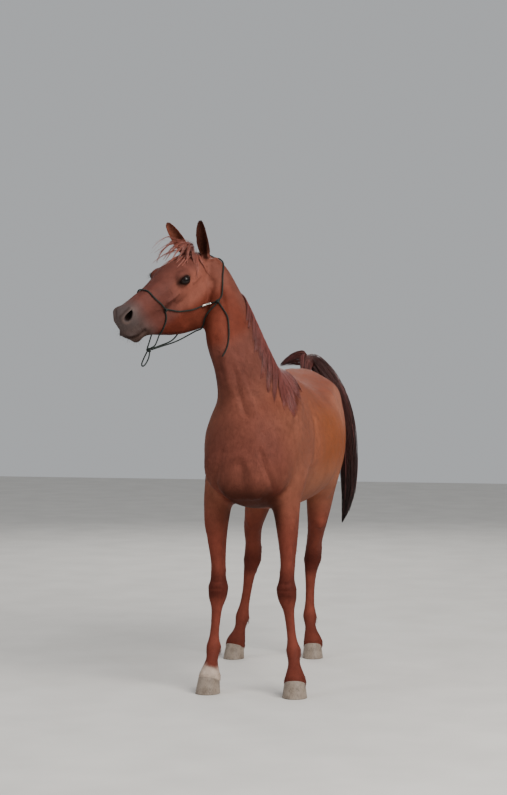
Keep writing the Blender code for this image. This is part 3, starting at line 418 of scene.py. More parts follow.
# %% Limbs
FORE_ROWS = table("""
150 55 1060 75 130 120 2100
158 60 960 74 120 110 2100
165 52 870 67 105 98 2100
169 46 790 58 86 82 2100
172 43 700 47 68 68 2100
174 43 600 36 52 50 2100
175 45 520 35 45 42 2200
176 44 468 45 52 46 2500
178 46 420 41 45 43 2400
179 48 375 27 36 36 2100
181 49 300 22.5 29 31 2100
183 48 240 24 30 34 2100
185 44 192 34 37 46 2200
187 18 145 28 30 32 2100
189 -8 105 40 40 38 2100
190 -22 75 50 52 52 2100
190 -30 45 50 50 50 2100
""")
HIND_ROWS = table("""
120 985 1200 105 190 195 2100
128 970 1080 98 185 195 2100
134 950 960 86 185 185 2100
136 958 860 72 155 160 2100
134 985 760 60 116 125 2100
130 1025 670 48 80 90 2100
126 1075 590 40 62 82 2100
124 1108 530 43 62 74 2200
124 1120 480 42 52 50 2400
125 1118 420 31 42 42 2200
127 1113 340 25 33 34 2100
129 1108 255 26 33 36 2100
131 1102 200 35 38 47 2200
133 1078 150 28.5 31 33 2100
135 1052 108 40 40 38 2100
136 1038 78 49 52 52 2100
136 1030 45 49 50 50 2100
""")
# Name, rows, side, out, back, toe turned out in degrees.
LIMBS = [
    ("fore_left", FORE_ROWS, 1, 0.008, -0.01, 10),
    ("fore_right", FORE_ROWS, -1, 0.01, 0.01, 8),
    ("hind_left", HIND_ROWS, 1, -0.074, 0.03, 12),
    ("hind_right", HIND_ROWS, -1, 0.178, -0.075, 14),
]
# How far a leg stands off its straight line across the body: height and distance, from the ground up.
SWAYS = dict(zip([limb[0] for limb in LIMBS], routes("""
80 0, 165 -13, 210 -18, 310 -25, 390 -31, 450 -37, 530 -33, 620 -26, 720 -25, 870 -26, 960 -12, 1060 0
100 0, 210 -7, 380 3, 470 7, 600 2, 740 -10, 870 -10, 1000 0
80 0, 108 -9, 150 -18, 200 -25, 300 -22, 420 -16, 580 -12, 700 0
80 0, 108 8, 150 11, 200 13, 260 22, 340 34, 420 42, 480 33, 530 22, 660 -3, 760 0
""")))


def sway(name, height):
    """How far a leg stands off its straight line at a height."""
    marks = SWAYS[name]
    for (low, start), (high, end) in zip(marks, marks[1:]):
        if low <= height <= high:
            return start + (end - start) * (height - low) / (high - low)
    return 0.0


def stance(name, rows, side, out, back, turned=0):
    """The limb's rows as it stands; only the hoof needs the toe's turn."""
    top = rows[2][2]
    resting = 0.1 if rows is FORE_ROWS else 0.42
    placed = []
    for x, y, z, *rest in rows:
        share = min(max((top - z) / (top - resting), 0), 1)
        placed.append((side * (x + out * share) + sway(name, z), y + back * share, z, *rest))
    return placed


# From a row's height: offset (x outwards), radii, turn.
FORE_MUSCLES = [
    (0.468, (0.0, 0.046, 0.01), (0.018, 0.016, 0.026)),  # bone behind the knee
    (0.87, (0.005, 0.085, 0.015), (0.035, 0.045, 0.045)),  # elbow
    (0.79, (0.022, -0.035, 0.0), (0.034, 0.04, 0.1)),  # forearm
]
HIND_MUSCLES = [
    (0.53, (0.0, 0.052, 0.026), (0.024, 0.03, 0.05), (-14, 0, 0)),  # point of the hock
    (0.76, (0.018, -0.03, 0.01), (0.042, 0.06, 0.12), (-18, 0, 0)),  # gaskin
    (0.96, (0.02, -0.135, 0.0), (0.055, 0.05, 0.06)),  # stifle
]
limb_shapes = []
for limb in LIMBS:
    placed = stance(*limb)
    limb_shapes.append(limb_loft(placed))
    by_height = {round(r[2], 3): Vector(r[:3]) for r in placed}
    for height, (x, y, z), *sizes in FORE_MUSCLES if limb[1] is FORE_ROWS else HIND_MUSCLES:
        limb_shapes.append(muscle(by_height[height] + Vector((limb[2] * x, y, z)), *sizes))
print("limb shapes", len(limb_shapes))

# %% [markdown]
# A horse's ear is a funnel of cartilage: nearly closed at its root, open to the front, drawn in to a tip
# that curls inwards. It could be a flat leaf bent round, but rings with an outer and an inner edge give
# the wall a real thickness, and the voxel join that follows needs one.

# %% Ears and dock
EARS = [
    # root in the head frame, tip in the horse frame, the way the opening faces (horse frame)
    ("left", (0.058, 0.03, 0.022), (-0.222, -0.12, 2.124), (-0.1, -0.95, 0.0)),
    ("right", (-0.056, 0.034, 0.022), (-0.385, -0.075, 2.122), (0.2, -0.95, 0.1)),
]
# Share of the length, radius, half angle that the wall goes round the back.
EAR_RINGS = [
    (-0.1, 0.02, 150),
    (0.08, 0.024, 140),
    (0.3, 0.0285, 114),
    (0.52, 0.0272, 98),
    (0.74, 0.0228, 88),
    (0.9, 0.0155, 82),
    (0.975, 0.0072, 76),
]
EAR_WALL = 0.007


def ear_frame(root, tip, facing):
    root, tip, facing = HEAD @ Vector(root), Vector(tip), Vector(facing)
    axis = (tip - root).normalized()
    front = (facing - axis * facing.dot(axis)).normalized()
    return root, axis, front, axis.cross(front).normalized(), (tip - root).length


def ear_shape(root, tip, facing):
    root, axis, front, side, length = ear_frame(root, tip, facing)
    bm = bmesh.new()
    rings = []
    for t, width, cup in smooth_run(EAR_RINGS, 4):
        bow = 0.01 * math.sin(math.pi * min(max(t, 0), 1)) - 0.012 * t**3
        centre = root + axis * (length * t) + front * bow
        thick = EAR_WALL * (1 - 0.4 * max(t, 0))
        angles = np.radians(cup) * np.linspace(-1, 1, 14)
        ways = [side * math.sin(a) - front * math.cos(a) for a in angles]
        outer = [centre + way * width for way in ways]
        inner = [centre + way * max(width - thick, width * 0.2) for way in ways]
        verts, edges = circle(bm, 28)
        for vertex, place in zip(verts, outer + inner[::-1]):
            vertex.co = place
        rings.append(edges)
    return bridged(bm, rings)


def along_ears(points):
    """For each ear: its name and frame, each place's share of its length, and its way off the axis."""
    for name, *row in EARS:
        root, axis, front, side, length = (np.array(v) for v in ear_frame(*row))
        rel = points - root
        t = rel @ axis / length
        yield name, (root, axis, front, side), rel @ axis, t, rel - np.outer(t * length, axis)


# Centre and radius.
DOCK = table("""
0 1110 1330 36
0 1165 1395 32
-8 1215 1460 29
-18 1250 1505 26
-10 1275 1512 22
10 1285 1500 17
""")
DOCK_INSET = 0.003


def dock_shape():
    bm = bmesh.new()
    rows = smooth_run(DOCK, 4)
    rings = []
    for i, row in enumerate(rows):
        before, after = rows[max(i - 1, 0)][:3], rows[min(i + 1, len(rows) - 1)][:3]
        axis = Vector(after - before).normalized()
        up = (Vector((1, 0, 0)) - axis * axis.x).normalized()
        radius = row[3] - DOCK_INSET
        rings.append(ring(bm, Vector(row[:3]), axis.cross(up), up, radius, radius, radius, 2.0, 16))
    return bridged(bm, rings)


ear_shapes = [ear_shape(*row[1:]) for row in EARS]
print("ears", len(ear_shapes), "dock stations", len(DOCK))

# %% [markdown]
# One skin covers the whole animal without a seam. Boolean unions would leave a crease at each muscle, so
# a voxel remesh melts the shells together, and smoothing by a vertex group relaxes the trunk strongly and
# the head and lower legs hardly at all. A second, finer remesh then takes in the ears.

# %% One skin over all the flesh
FLESH_GRAIN = 0.0065
SKIN_GRAIN = 0.004


def weigh(obj, name, weights):
    """A vertex group from an array, in 64 levels."""
    group = obj.vertex_groups.new(name=name)
    levels = np.round(np.clip(weights, 0, 1) * 64).astype(int)
    for level in np.unique(levels):
        group.add(np.where(levels == level)[0].tolist(), level / 64, "REPLACE")


def places(obj):
    co = np.empty(len(obj.data.vertices) * 3)
    obj.data.vertices.foreach_get("co", co)
    return co.reshape(-1, 3)


def away_from(points, centre):
    """How far each place is from one place."""
    return norms(points - np.array(centre))


def voxels(obj, grain, name):
    join = obj.modifiers.new("join", "REMESH")
    join.mode = "VOXEL"
    join.voxel_size = grain
    return settled(obj, name)


def relax(obj, group, rounds):
    smooth = obj.modifiers.new("relax", "SMOOTH")
    smooth.factor = 0.5
    smooth.iterations = rounds
    if group:
        smooth.vertex_group = group


shapes = trunk_shapes + [neck_shape] + head_shapes + limb_shapes
flesh = voxels(gathered("flesh", shapes), FLESH_GRAIN, "flesh")
co = places(flesh)
weigh(flesh, "soft", 0.12 + 0.88 * np.minimum(ease(1.72 - co[:, 2], 0, 0.12), ease(co[:, 2], 0.62, 0.9)))
weigh(flesh, "base", 1 - ease(away_from(co, (0, -0.02, 1.3)), 0.24, 0.4))
for group, rounds in (("soft", 60), ("base", 150), ("base", 150), ("soft", 60)):
    relax(flesh, group, rounds)
flesh = settled(flesh, "flesh")
whole = bmesh.new()
whole.from_mesh(flesh.data)
bpy.data.objects.remove(flesh)
skin = voxels(gathered("skin", [whole, dock_shape()] + ear_shapes), SKIN_GRAIN, "skin")
relax(skin, None, 5)
skin = settled(skin, "skin")
print("skin corners", len(skin.data.vertices))

# %% [markdown]
# Where lids, nostrils and lips come, the skin needs a finer net. bmesh.ops.subdivide_edges splits only
# the edges near a list of places, twice round the eyes.

# %% A finer net on the face
EYE_AT = Vector((0.088, 0.222, -0.006))
EYE_RADIUS = 0.024
NOSTRIL_AT = Vector((0.044, 0.549, -0.018))


def refine(bm, centre, radius):
    near = [v for v in bm.verts if (v.co - centre).length < radius]
    edges = list({e for v in near for e in v.link_edges})
    bmesh.ops.subdivide_edges(bm, edges=edges, cuts=1, use_grid_fill=True)


bm = bmesh.new()
bm.from_mesh(skin.data)
refine(bm, head_point(0, 0.53, -0.06), 0.115)
for side in (1, -1):
    for place, radius in ((EYE_AT, 0.06), (EYE_AT, 0.038), (NOSTRIL_AT, 0.034)):
        refine(bm, head_point(*place, side), radius)
bmesh.ops.triangulate(bm, faces=[f for f in bm.faces if len(f.verts) > 4])
bm.to_mesh(skin.data)
bm.free()
print("skin corners", len(skin.data.vertices))

# %% [markdown]
# Sculpting in code: a stroke follows a line that is laid on the surface first, and raises the skin along
# it, or presses it in where the height is negative, fading out at both ends. A dab does the same round a
# point. The strokes are anatomy: the groove of the jugular vein, the split of the breast, the shoulder
# blade, the tendons that part from the cannon bone.

# %% Strokes and dabs
class Clay:
    """The skin's corners and their outward directions, pushed about and put back at the end."""

    def __init__(self, obj):
        self.obj = obj
        self.refresh()

    def refresh(self):
        self.obj.data.update()
        self.co = places(self.obj)
        flat = np.empty(len(self.co) * 3)
        self.obj.data.vertex_normals.foreach_get("vector", flat)
        self.out = flat.reshape(-1, 3)
        bm = bmesh.new()
        bm.from_mesh(self.obj.data)
        self.tree = BVHTree.FromBMesh(bm)
        bm.free()

    def write(self):
        self.obj.data.vertices.foreach_set("co", self.co.ravel())
        self.obj.data.update()

    def settle(self):
        self.write()
        self.refresh()

    def stroke(self, points, width, height, ends=0.18):
        line = np.array([self.laid(p) for p in even_run([tuple(p) for p in points], 0.02)])
        low, high = line.min(0) - 3 * width, line.max(0) + 3 * width
        near = np.where(((self.co > low) & (self.co < high)).all(1))[0]
        sub = self.co[near]
        best = np.full(len(near), 1e9)
        along = np.zeros(len(near))
        for k, (a, b) in enumerate(zip(line, line[1:])):
            step = b - a
            t = np.clip(((sub - a) @ step) / max(step @ step, 1e-12), 0, 1)
            away = norms(sub - (a + t[:, None] * step))
            better = away < best
            best[better] = away[better]
            along[better] = ((k + t) / (len(line) - 1))[better]
        fade = ease(along, 0, ends) * ease(1 - along, 0, ends) if ends else 1.0
        self.co[near] += self.out[near] * (height * np.exp(-((best / width) ** 2)) * fade)[:, None]

    def laid(self, point):
        return tuple(self.tree.find_nearest(Vector(point))[0])

    def dab(self, point, radius, height):
        away = away_from(self.co, self.laid(point))
        near = away < 3 * radius
        self.co[near] += self.out[near] * (height * np.exp(-((away[near] / radius) ** 2)))[:, None]

    def both(self, points, *how):
        for side in (1, -1):
            self.stroke([(side * x, y, z) for x, y, z in points], *how)

    def head_both(self, points, *how):
        for side in (1, -1):
            self.stroke([head_point(*p, side) for p in points], *how)

    def head_dabs(self, point, *how):
        for side in (1, -1):
            self.dab(head_point(*point, side), *how)


clay = Clay(skin)
crest_frames = neck_frames(10)


def on_neck(share, degrees, side):
    """A place on the neck: a share of its length, and an angle from its side towards the crest."""
    centre, left, crest, row = crest_frames[round(share * (len(crest_frames) - 1))]
    angle = math.radians(degrees)
    reach = row[5] if degrees > 0 else row[4]
    return centre + left * (side * row[3] * math.cos(angle)) + crest * (reach * math.sin(angle))


def on_limb(placed, height, across, along):
    """A place on a limb at a height: shares of its half width outwards and of its depth to the back."""
    row = min(smooth_run(placed, 8), key=lambda r: abs(r[2] - height))
    side = 1 if row[0] > 0 else -1
    depth = row[5] if along > 0 else row[4]
    return (row[0] + side * across * row[3], row[1] + along * depth, row[2])


# %% Neck, shoulder and barrel
NECK_GROOVES = [
    ((0.86, 0.72, 0.58, 0.44, 0.3), -46, 0.013, -0.005),  # jugular groove
    ((0.8, 0.66, 0.52, 0.38, 0.26), -12, 0.026, 0.003),  # muscle from the head to the arm
    ((0.74, 0.6, 0.46, 0.34), 14, 0.012, -0.0028),
    ((0.7, 0.56, 0.42), 46, 0.02, 0.0025),
]
for side in (1, -1):
    for shares, degrees, *how in NECK_GROOVES:
        clay.stroke([on_neck(s, degrees, side) for s in shares], *how)
# Places of each stroke; then its width and height.
BODY_LINES = routes("""
72 -215 1130, 90 -200 1040, 118 -150 930, 15 -6  # breast and arm
30 -262 1100, 45 -250 1000, 60 -215 900, 30 3
165 210 1400, 190 90 1270, 190 -30 1120, 22 3  # shoulder blade
150 130 1400, 170 20 1270, 160 -80 1140, 18 -3.5
215 270 1340, 240 235 1180, 232 190 1020, 28 -6  # behind the arm
200 160 1060, 205 80 990, 190 20 950, 16 4  # triceps edge
262 400 980, 270 560 970, 250 700 1020, 30 2.5  # belly's edge
190 800 1350, 240 800 1220, 235 760 1080, 30 -5.5  # flank
205 870 1310, 225 960 1200, 200 1020 1020, 18 -3.5  # thigh
140 1130 1320, 175 1115 1160, 160 1110 950, 14 -5  # back of the thigh
235 740 1020, 215 800 940, 190 850 880, 18 3.5  # flank fold
""")
for *points, how in BODY_LINES:
    clay.both(points, *how)
for k in range(6):
    y = 0.36 + 0.062 * k
    clay.both([(0.26, y, 1.28), (0.28, y + 0.035, 1.12), (0.26, y + 0.025, 0.96)], 0.011, 0.0009)  # ribs
# These lie on one side, because the neck is turned; the last two are on the middle line.
NECK_LINES = routes("""
-52 -180 1500, -38 -174 1420, -15 -168 1320, 22 -175 1215, 14 -8
-90 -195 1550, -75 -185 1440, -55 -185 1330, 17 4.5
-20 -165 1540, 4 -150 1430, 30 -150 1300, 55 -170 1220, 19 4.5
-125 -215 1620, -118 -205 1520, -108 -195 1420, 12 -5  # windpipe's edge
-45 -240 1090, 10 -242 1070, 50 -232 1010, 72 -215 950, 26 4
85 -200 1200, 105 -170 1100, 120 -130 1000, 24 -3
0 -266 1100, 4 -262 1010, 6 -225 910, 19 -7 350  # split of the breast
0 400 1440, 0 620 1410, 0 900 1460, 0 1080 1440, 22 -3.5  # back
""")
for *points, how in NECK_LINES:
    clay.stroke(points, *how)
clay.both([(0.045, 0.55, 1.41), (0.055, 0.72, 1.42), (0.06, 0.86, 1.45)], 0.03, 0.003)  # loin
for side in (1, -1):
    clay.dab((side * 0.225, 0.79, 1.3), 0.03, 0.004)  # point of the hip

# %% Legs
# Heights along the limb, share of the half width, share of the depth, then the stroke's width and height.
FORE_STROKES = [
    ((0.82, 0.72, 0.62, 0.54), 0.97 * 0.8, -0.35, 0.01, -0.0035),
    ((0.78, 0.68, 0.58), 0.97 * 0.9, 0.55, 0.012, -0.003),
]
HIND_STROKES = [
    ((0.66, 0.6, 0.55), 0.97, 0.5, 0.013, -0.009),  # by the heel cord
    ((0.8, 0.7, 0.62), 0.97 * 0.9, -0.2, 0.014, -0.0035),
]
for limb in LIMBS:
    placed = stance(*limb)
    fore = limb[1] is FORE_ROWS
    for side in (1, -1):
        cannon = [on_limb(placed, z, side * 0.97, 0.28) for z in (0.4, 0.33, 0.26, 0.21)]
        clay.stroke(cannon, 0.006, -0.0036, 0.25)  # between bone and tendon
        clay.dab(on_limb(placed, 0.196, side * 0.97, 0.25), 0.014, 0.003)  # fetlock bones
        for heights, across, along, *how in FORE_STROKES if fore else HIND_STROKES:
            clay.stroke([on_limb(placed, z, side * across, along) for z in heights], *how)
        joint = (0.475, 0.016, 0.003) if fore else (0.485, 0.02, 0.0035)  # knee or hock bones
        clay.dab(on_limb(placed, joint[0], side * 0.97, -0.1), *joint[1:])
    if fore:
        for height, *how in ((0.47, 0.006, -0.0018, 0.2), (0.5, 0.007, -0.0014, 0.2)):
            clay.stroke([on_limb(placed, height, a, -0.9) for a in (-0.8, 0.0, 0.8)], *how)
    chestnut = (0.548, -0.9, 0.011, 0.003) if fore else (0.425, -0.95, 0.01, 0.0028)
    clay.dab(on_limb(placed, chestnut[0], chestnut[1], 0.1), *chestnut[2:])
    clay.dab(on_limb(placed, 0.18, 0, 1.0), 0.013, 0.005)  # ergot
print("strokes laid; skin's lowest corner", round(float(clay.co[:, 2].min()), 4))

# %% [markdown]
# The face gets the finest work. The crest of bone under the eye, the hollows over and before it, the
# round cheek with its front edge, and a few veins just under the thin skin are what a breeder calls a
# dry head. Then lips, chin and the folds at the corner of the mouth.

# %% Face
HEAD_LINES = routes("""
90 258 -44, 78 300 -56, 66 345 -62, 7.5 4.2  # facial crest
86 290 -82, 72 325 -96, 58 370 -100, 14 -4
60 290 12, 50 370 0, 44 450 -2, 13 -3  # beside the nose
30 250 36, 24 350 20, 20 470 14, 10 1.6  # nose bone
98 262 -100, 80 276 -160, 68 262 -225, 13 -4  # cheek's front
100 85 -60, 100 60 -120, 82 60 -190, 14 -5  # cheek's back
104 190 -42, 108 150 -38, 100 105 -30, 9 3.6  # cheek bone arch
66 262 -252, 50 330 -228, 42 395 -196, 10 1.6  # jaw's edge
62 325 -150, 66 318 -105, 70 305 -70, 3 1.7  # veins
66 318 -105, 60 365 -85, 52 410 -62, 2.8 1.5
70 305 -70, 70 296 -30, 60 300 4, 2.8 1.5
66 318 -105, 80 270 -98, 92 235 -75, 2.6 1.2
40 470 -50, 46 500 -60, 40 530 -72, 7 -2.2
""")
for *points, how in HEAD_LINES:
    clay.head_both(points, *how)
HEAD_DABS = routes("""
68 160 40, 17 -6  # hollow over the eye
86 275 -12, 16 -3  # before the eye
40 210 50, 26 2  # brow
30 565 -50, 13 3  # upper lip
52 505 -30, 14 -2.5  # behind the nostril
22 555 -125, 14 3.5  # lower lip
50 188 -256, 36 12.5  # jaw's angle
""")
for point, how in HEAD_DABS:
    clay.head_dabs(point, *how)
clay.dab(head_point(0, 0.52, -0.172), 0.02, 0.004)  # chin
clay.settle()
FULL_LIP, LIPS = routes("""
0 588 -98, 20 577 -103, 32 550 -110, 37 518 -117
0 592 -112, 19 580 -117, 31 552 -125, 36 522 -129, 37 496 -129, 35 472 -124
""")
clay.head_both(FULL_LIP, 0.013, 0.0105, 0.0)
clay.dab(head_point(0, 0.592, -0.07), 0.022, 0.0045)
clay.dab(head_point(0, 0.515, -0.175), 0.024, 0.0085)  # chin
clay.settle()
LIP_STROKES = ((0, 0.004, -0.0062, 0.04), (0.01, 0.0055, 0.0022, 0.1), (-0.011, 0.006, 0.0024, 0.1))
for raised, *how in LIP_STROKES:
    clay.head_both([(x, y, z + raised) for x, y, z in LIPS], *how)
for turn in (0.012, 0.021):
    corner = [(0.037, 0.47 - turn, -0.108), (0.036, 0.462 - turn, -0.126), (0.033, 0.468 - turn, -0.143)]
    clay.head_both(corner, 0.003, -0.0014)
print("face strokes", len(HEAD_LINES) + 6)

# %% [markdown]
# Lids and nostrils are openings. A nostril is a comma that is pushed in along its own depth, with a
# raised rim. The lids are laid on the eyeball: inside the almond the skin goes behind the ball, just
# outside it lies a lid's thickness over the ball, and further out it runs back into the face.

# %% Lids and nostrils
LID = 0.0019


def bell(value, middle, width):
    """1 at the middle, fading to 0 over a few widths."""
    return np.exp(-(((value - middle) / width) ** 2))


def head_way(way, first=None):
    """A direction of the head's frame as the horse's frame has it, made square to a first one."""
    way = head_axes @ np.array(way)
    if first is not None:
        way -= first * (way @ first)
    return way / np.linalg.norm(way)


def eye_axes(side):
    """Outwards, ahead and up for the eye of one side."""
    out = head_way((side * 0.93, 0.27, 0.16))
    ahead = head_way((0, 0.998, -0.03), out)
    up = np.cross(out, ahead) * side
    return out, ahead, up * np.sign(up @ (head_axes @ np.array((0, 0, 1.0))))


def around_eye(points, side):
    """Each place's way from the ball's middle, its distance, and how far, in radians, it lies outside
    the opening between the lids: negative inside."""
    out, ahead, up = eye_axes(side)
    rays = points - np.array(head_point(*EYE_AT, side))
    reach = norms(rays)
    way = rays / np.maximum(reach, 1e-9)[:, None]
    angle = np.arccos(np.clip(way @ out, -1, 1))
    spread = angle / np.maximum(np.sin(angle), 1e-3)
    u, v = way @ ahead * spread, way @ up * spread
    arch = np.where(v > 0, 0.64, 0.48)
    q = ((np.abs(u) / 1.07) ** 1.7 + (np.abs(v) / arch) ** 1.7) ** (1 / 1.7)
    gap = np.hypot(u, v) * (1 - 1 / np.maximum(q, 1e-3))
    return way, reach, gap, u, v


def opened_eye(side):
    way, reach, gap, u, v = around_eye(clay.co, side)
    near = np.where((reach < 0.062) & (gap < 1.3) & (np.hypot(u, v) < 2.1))[0]
    way, far, gap, u, v = way[near], reach[near], gap[near], u[near], v[near]
    lid = EYE_RADIUS + LID * (1.0 + 0.6 * (v > 0)) - 0.0004 * (v < 0)
    hold = (1 - ease(gap, 0.08, 0.8)) * (1 - ease(far, 0.042, 0.06))
    target = far * (1 - hold) + lid * hold
    fold = bell(gap, 0.3, 0.045) * 0.002 - bell(gap, 0.42, 0.07) * 0.0012
    wrinkle = bell(gap, 0.3, 0.05) * 0.0011 + bell(gap, 0.52, 0.05) * 0.0007
    target -= np.where(v > 0, fold, wrinkle) * ease(1.25 - np.abs(u), 0.0, 0.5)
    target += 0.0005 * bell(gap, 0.03, 0.04)
    # A soft floor keeps the skin outside the ball wherever the lids are shut over it.
    over_ball = EYE_RADIUS + 0.0008
    clear = over_ball + 0.0008 * np.logaddexp(0, (target - over_ball) / 0.0008)
    target += (clear - target) * ease(gap, 0.0, 0.08)
    within = ease(-gap, 0.0, 0.12)
    target = target * (1 - within) + (EYE_RADIUS - 0.006) * within
    clay.co[near] = np.array(head_point(*EYE_AT, side)) + way * target[:, None]
    return eye_axes(side)


def around_nostril(points, centre, side):
    """The way inwards, how far out each place lies from the comma's middle, 1 at its edge, how far
    forward, and whether it is near. The comma's narrow end is up and back."""
    inward = head_way((-side * 0.8, -0.58, -0.1))
    long = head_way((side * 0.1, -0.6, 0.79), inward)
    wide = np.cross(inward, long)
    wide *= np.sign(wide @ (head_axes @ np.array((0, 1.0, 0))))
    rays = points - np.array(centre)
    t = rays @ long / 0.0275
    v = (rays @ wide + 0.0065 * t) / (0.0135 * (1 - 0.38 * np.clip(t, -1, 1)))
    outside = (norms(rays) < 0.055) & (rays @ inward < 0.024)
    return inward, np.hypot(t, v), v, outside


def opened_nostril(side):
    """A comma-shaped pit with a raised wing before it."""
    centre = np.array(clay.laid(head_point(*NOSTRIL_AT, side)))
    inward, q, v, outside = around_nostril(clay.co, centre, side)
    deep = 0.034 * (1 - ease(q, 0.42, 1.04))
    wing = np.clip(0.35 + 0.65 * v / np.maximum(q, 0.1), 0.15, 1)
    rim = 0.005 * wing * bell(q, 1.25, 0.2)
    groove = 0.0032 * bell(q, 1.85, 0.22) * (v > 0)
    clay.co += inward * ((deep - rim + groove) * outside)[:, None]
    return centre


eye_frames = {side: opened_eye(side) for side in (1, -1)}
nostrils = {side: opened_nostril(side) for side in (1, -1)}
clay.write()
print("lids a", LID * 1000, "mm layer; nostrils at", np.round(nostrils[1], 3).tolist())

# %% [markdown]
# The skin is now finer than it needs to be on the broad body. A weighted Decimate thins it there and
# leaves the face alone. Last, the skin is drawn in by the coat's depth, because the solids give the
# outline that the hair reaches.

# %% Thinned skin, drawn in by the coat's depth
SKIN_TRIANGLES = 188000
co = places(skin)
kept = 0.25 + 0.75 * ease(co[:, 2], 1.66, 1.8) + 0.35 * (1 - ease(co[:, 2], 0.45, 0.8))
weigh(skin, "thin", 1 - np.clip(kept, 0, 1))
thin = skin.modifiers.new("thin", "DECIMATE")
thin.ratio = min(1.0, SKIN_TRIANGLES / sum(len(p.vertices) - 2 for p in skin.data.polygons))
thin.vertex_group = "thin"
thin.vertex_group_factor = 1.0
skin = settled(skin, "skin")
skin.vertex_groups.clear()
clay = Clay(skin)


def face_share(points):
    """1 on the face, 0 behind the cheeks."""
    local = in_head(points)
    below = 1 - ease(-local[:, 2], 0.29, 0.34)
    between = 1 - ease(np.abs(local[:, 0]), 0.112, 0.15)
    return ease(local[:, 1], 0.02, 0.14) * below * between * (local[:, 1] < 0.7) * (points[:, 2] > 1.5)


def ear_share(points):
    """1 on the ears, 0 at their roots and elsewhere."""
    near = np.zeros(len(points))
    for name, frame_of, up, t, away in along_ears(points):
        near = np.maximum(near, ease(t, 0.05, 0.25) * (norms(away) < 0.05))
    return near


def coat_depth(points):
    """How deep the hair stands: least on the face and ears, less on the legs than on the body."""
    body = 0.0022 - 0.001 * (1 - ease(points[:, 2], 0.5, 0.85))
    return body * (1 - face_share(points)) + 0.0008 * face_share(points)


inset = coat_depth(clay.co)
eye_guard = np.ones(len(clay.co))
for side in (1, -1):
    eye_guard = np.minimum(eye_guard, ease(away_from(clay.co, head_point(*EYE_AT, side)), 0.026, 0.04))
on_ears = ear_share(clay.co)
inset = np.where(on_ears > 0, 0.0014 * on_ears, inset * eye_guard)
clay.co -= clay.out * inset[:, None]
clay.write()
skin.data.transform(Matrix.Translation(SHIFT))
skin.data.shade_smooth()
print("skin triangles", sum(len(p.vertices) - 2 for p in skin.data.polygons))
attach(skin, "root")
flesh_nodes = ["trunk", "neck", "head", "ear_left", "ear_right", "tail_dock"]
for name, rows, *rest in LIMBS:
    upper = "forearm" if rows is FORE_ROWS else "gaskin"
    flesh_nodes += [f"{name}_{piece}" for piece in (upper, "cannon", "pastern")]
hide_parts(*flesh_nodes)

# %% [markdown]
# Materials start from the real thing. Colours are the sRGB hex values that a painter would mix, turned to
# linear by one function, because the shader works in light. One small function adds a node with its
# settings and links; every pattern reads the piece's own place, in metres.

# %% Colours and nodes
def linear(code):
    """An sRGB hex colour as linear red, green, blue."""
    parts = [int(code[i : i + 2], 16) / 255 for i in (1, 3, 5)]
    return np.array([p / 12.92 if p <= 0.04045 else ((p + 0.055) / 1.055) ** 2.4 for p in parts])


def add(tree, kind, inputs=None, to=None, give=0, stops=(), **settings):
    """A node with its settings and links: an input is a value or the result that feeds it, to names
    the shader's input that it feeds, stops are a ramp's places and colours. Gives one result."""
    made = tree.nodes.new("ShaderNode" + kind)
    for key, value in settings.items():
        setattr(made, key, value)
    for key, value in (inputs or {}).items():
        if isinstance(value, bpy.types.NodeSocket):
            tree.links.new(value, made.inputs[key])
        else:
            made.inputs[key].default_value = value
    for new in stops[2:]:
        made.color_ramp.elements.new(0.5)
    for k, (position, code) in enumerate(stops):
        made.color_ramp.elements[k].position = position
        made.color_ramp.elements[k].color = (*linear(code), 1)
    if to:
        tree.links.new(made.outputs[give], tree.nodes["Principled BSDF"].inputs[to])
    return made.outputs[give]


def finish(name, roughness, **sockets):
    """A new material with its shader's even values set; gives its tree and its place node too."""
    made = bpy.data.materials.new(name)
    made.use_nodes = True
    inputs = made.node_tree.nodes["Principled BSDF"].inputs
    inputs["Roughness"].default_value = roughness
    for key, value in sockets.items():
        inputs[key.replace("_", " ")].default_value = value
    return made, made.node_tree, add(made.node_tree, "TexCoord", give="Object")


# %% [markdown]
# The markings are one function of place, used for the skin and for every tuft, so that hair and skin
# always agree. It is a list of colours with soft masks: redder and darker down the legs, more golden on
# the flank, grey about muzzle and eyes, dark in ears and nostrils, a white band over one hoof. Some of
# the masks are painted shade: on what faces down, forward or up, between the forelegs, in the nostrils,
# ears and creases of the mouth, and under the raised tail. Painted highlights lighten the nostrils' rims
# and the lower lip.

# %% Markings
def near_to(points, centre, low, high):
    """1 within low of a place, 0 beyond high."""
    return 1 - ease(away_from(points, centre), low, high)


def drift(points, scale, seed):
    """A slow, smooth wander between -1 and 1, from a few crossed waves."""
    rng = np.random.default_rng(seed)
    total = np.zeros(len(points))
    for k in range(5):
        way = rng.normal(size=3)
        way /= np.linalg.norm(way)
        total += np.sin(points @ way * scale * (1 + 0.45 * k) + rng.uniform(0, 6.28))
    return total / 3.0


COAT = {
    "body": "#814e3d", "neck": "#653c34", "flank": "#83482b", "top": "#794030", "breast": "#663930",
    "belly": "#9a6650", "haunch": "#9d6856", "fold": "#30160f", "under": "#622c23", "leg": "#73392e",
    "joint": "#471f19", "cheek": "#844e40", "jaw": "#5a2417", "face": "#59332d", "muzzle": "#514745",
    "chin": "#33241e", "rim": "#6b5750", "lips": "#2c1d18", "dark": "#120907", "ear_painted_shade": "#240d09",
    "ear_back": "#74402f", "white": "#b7a596",
}


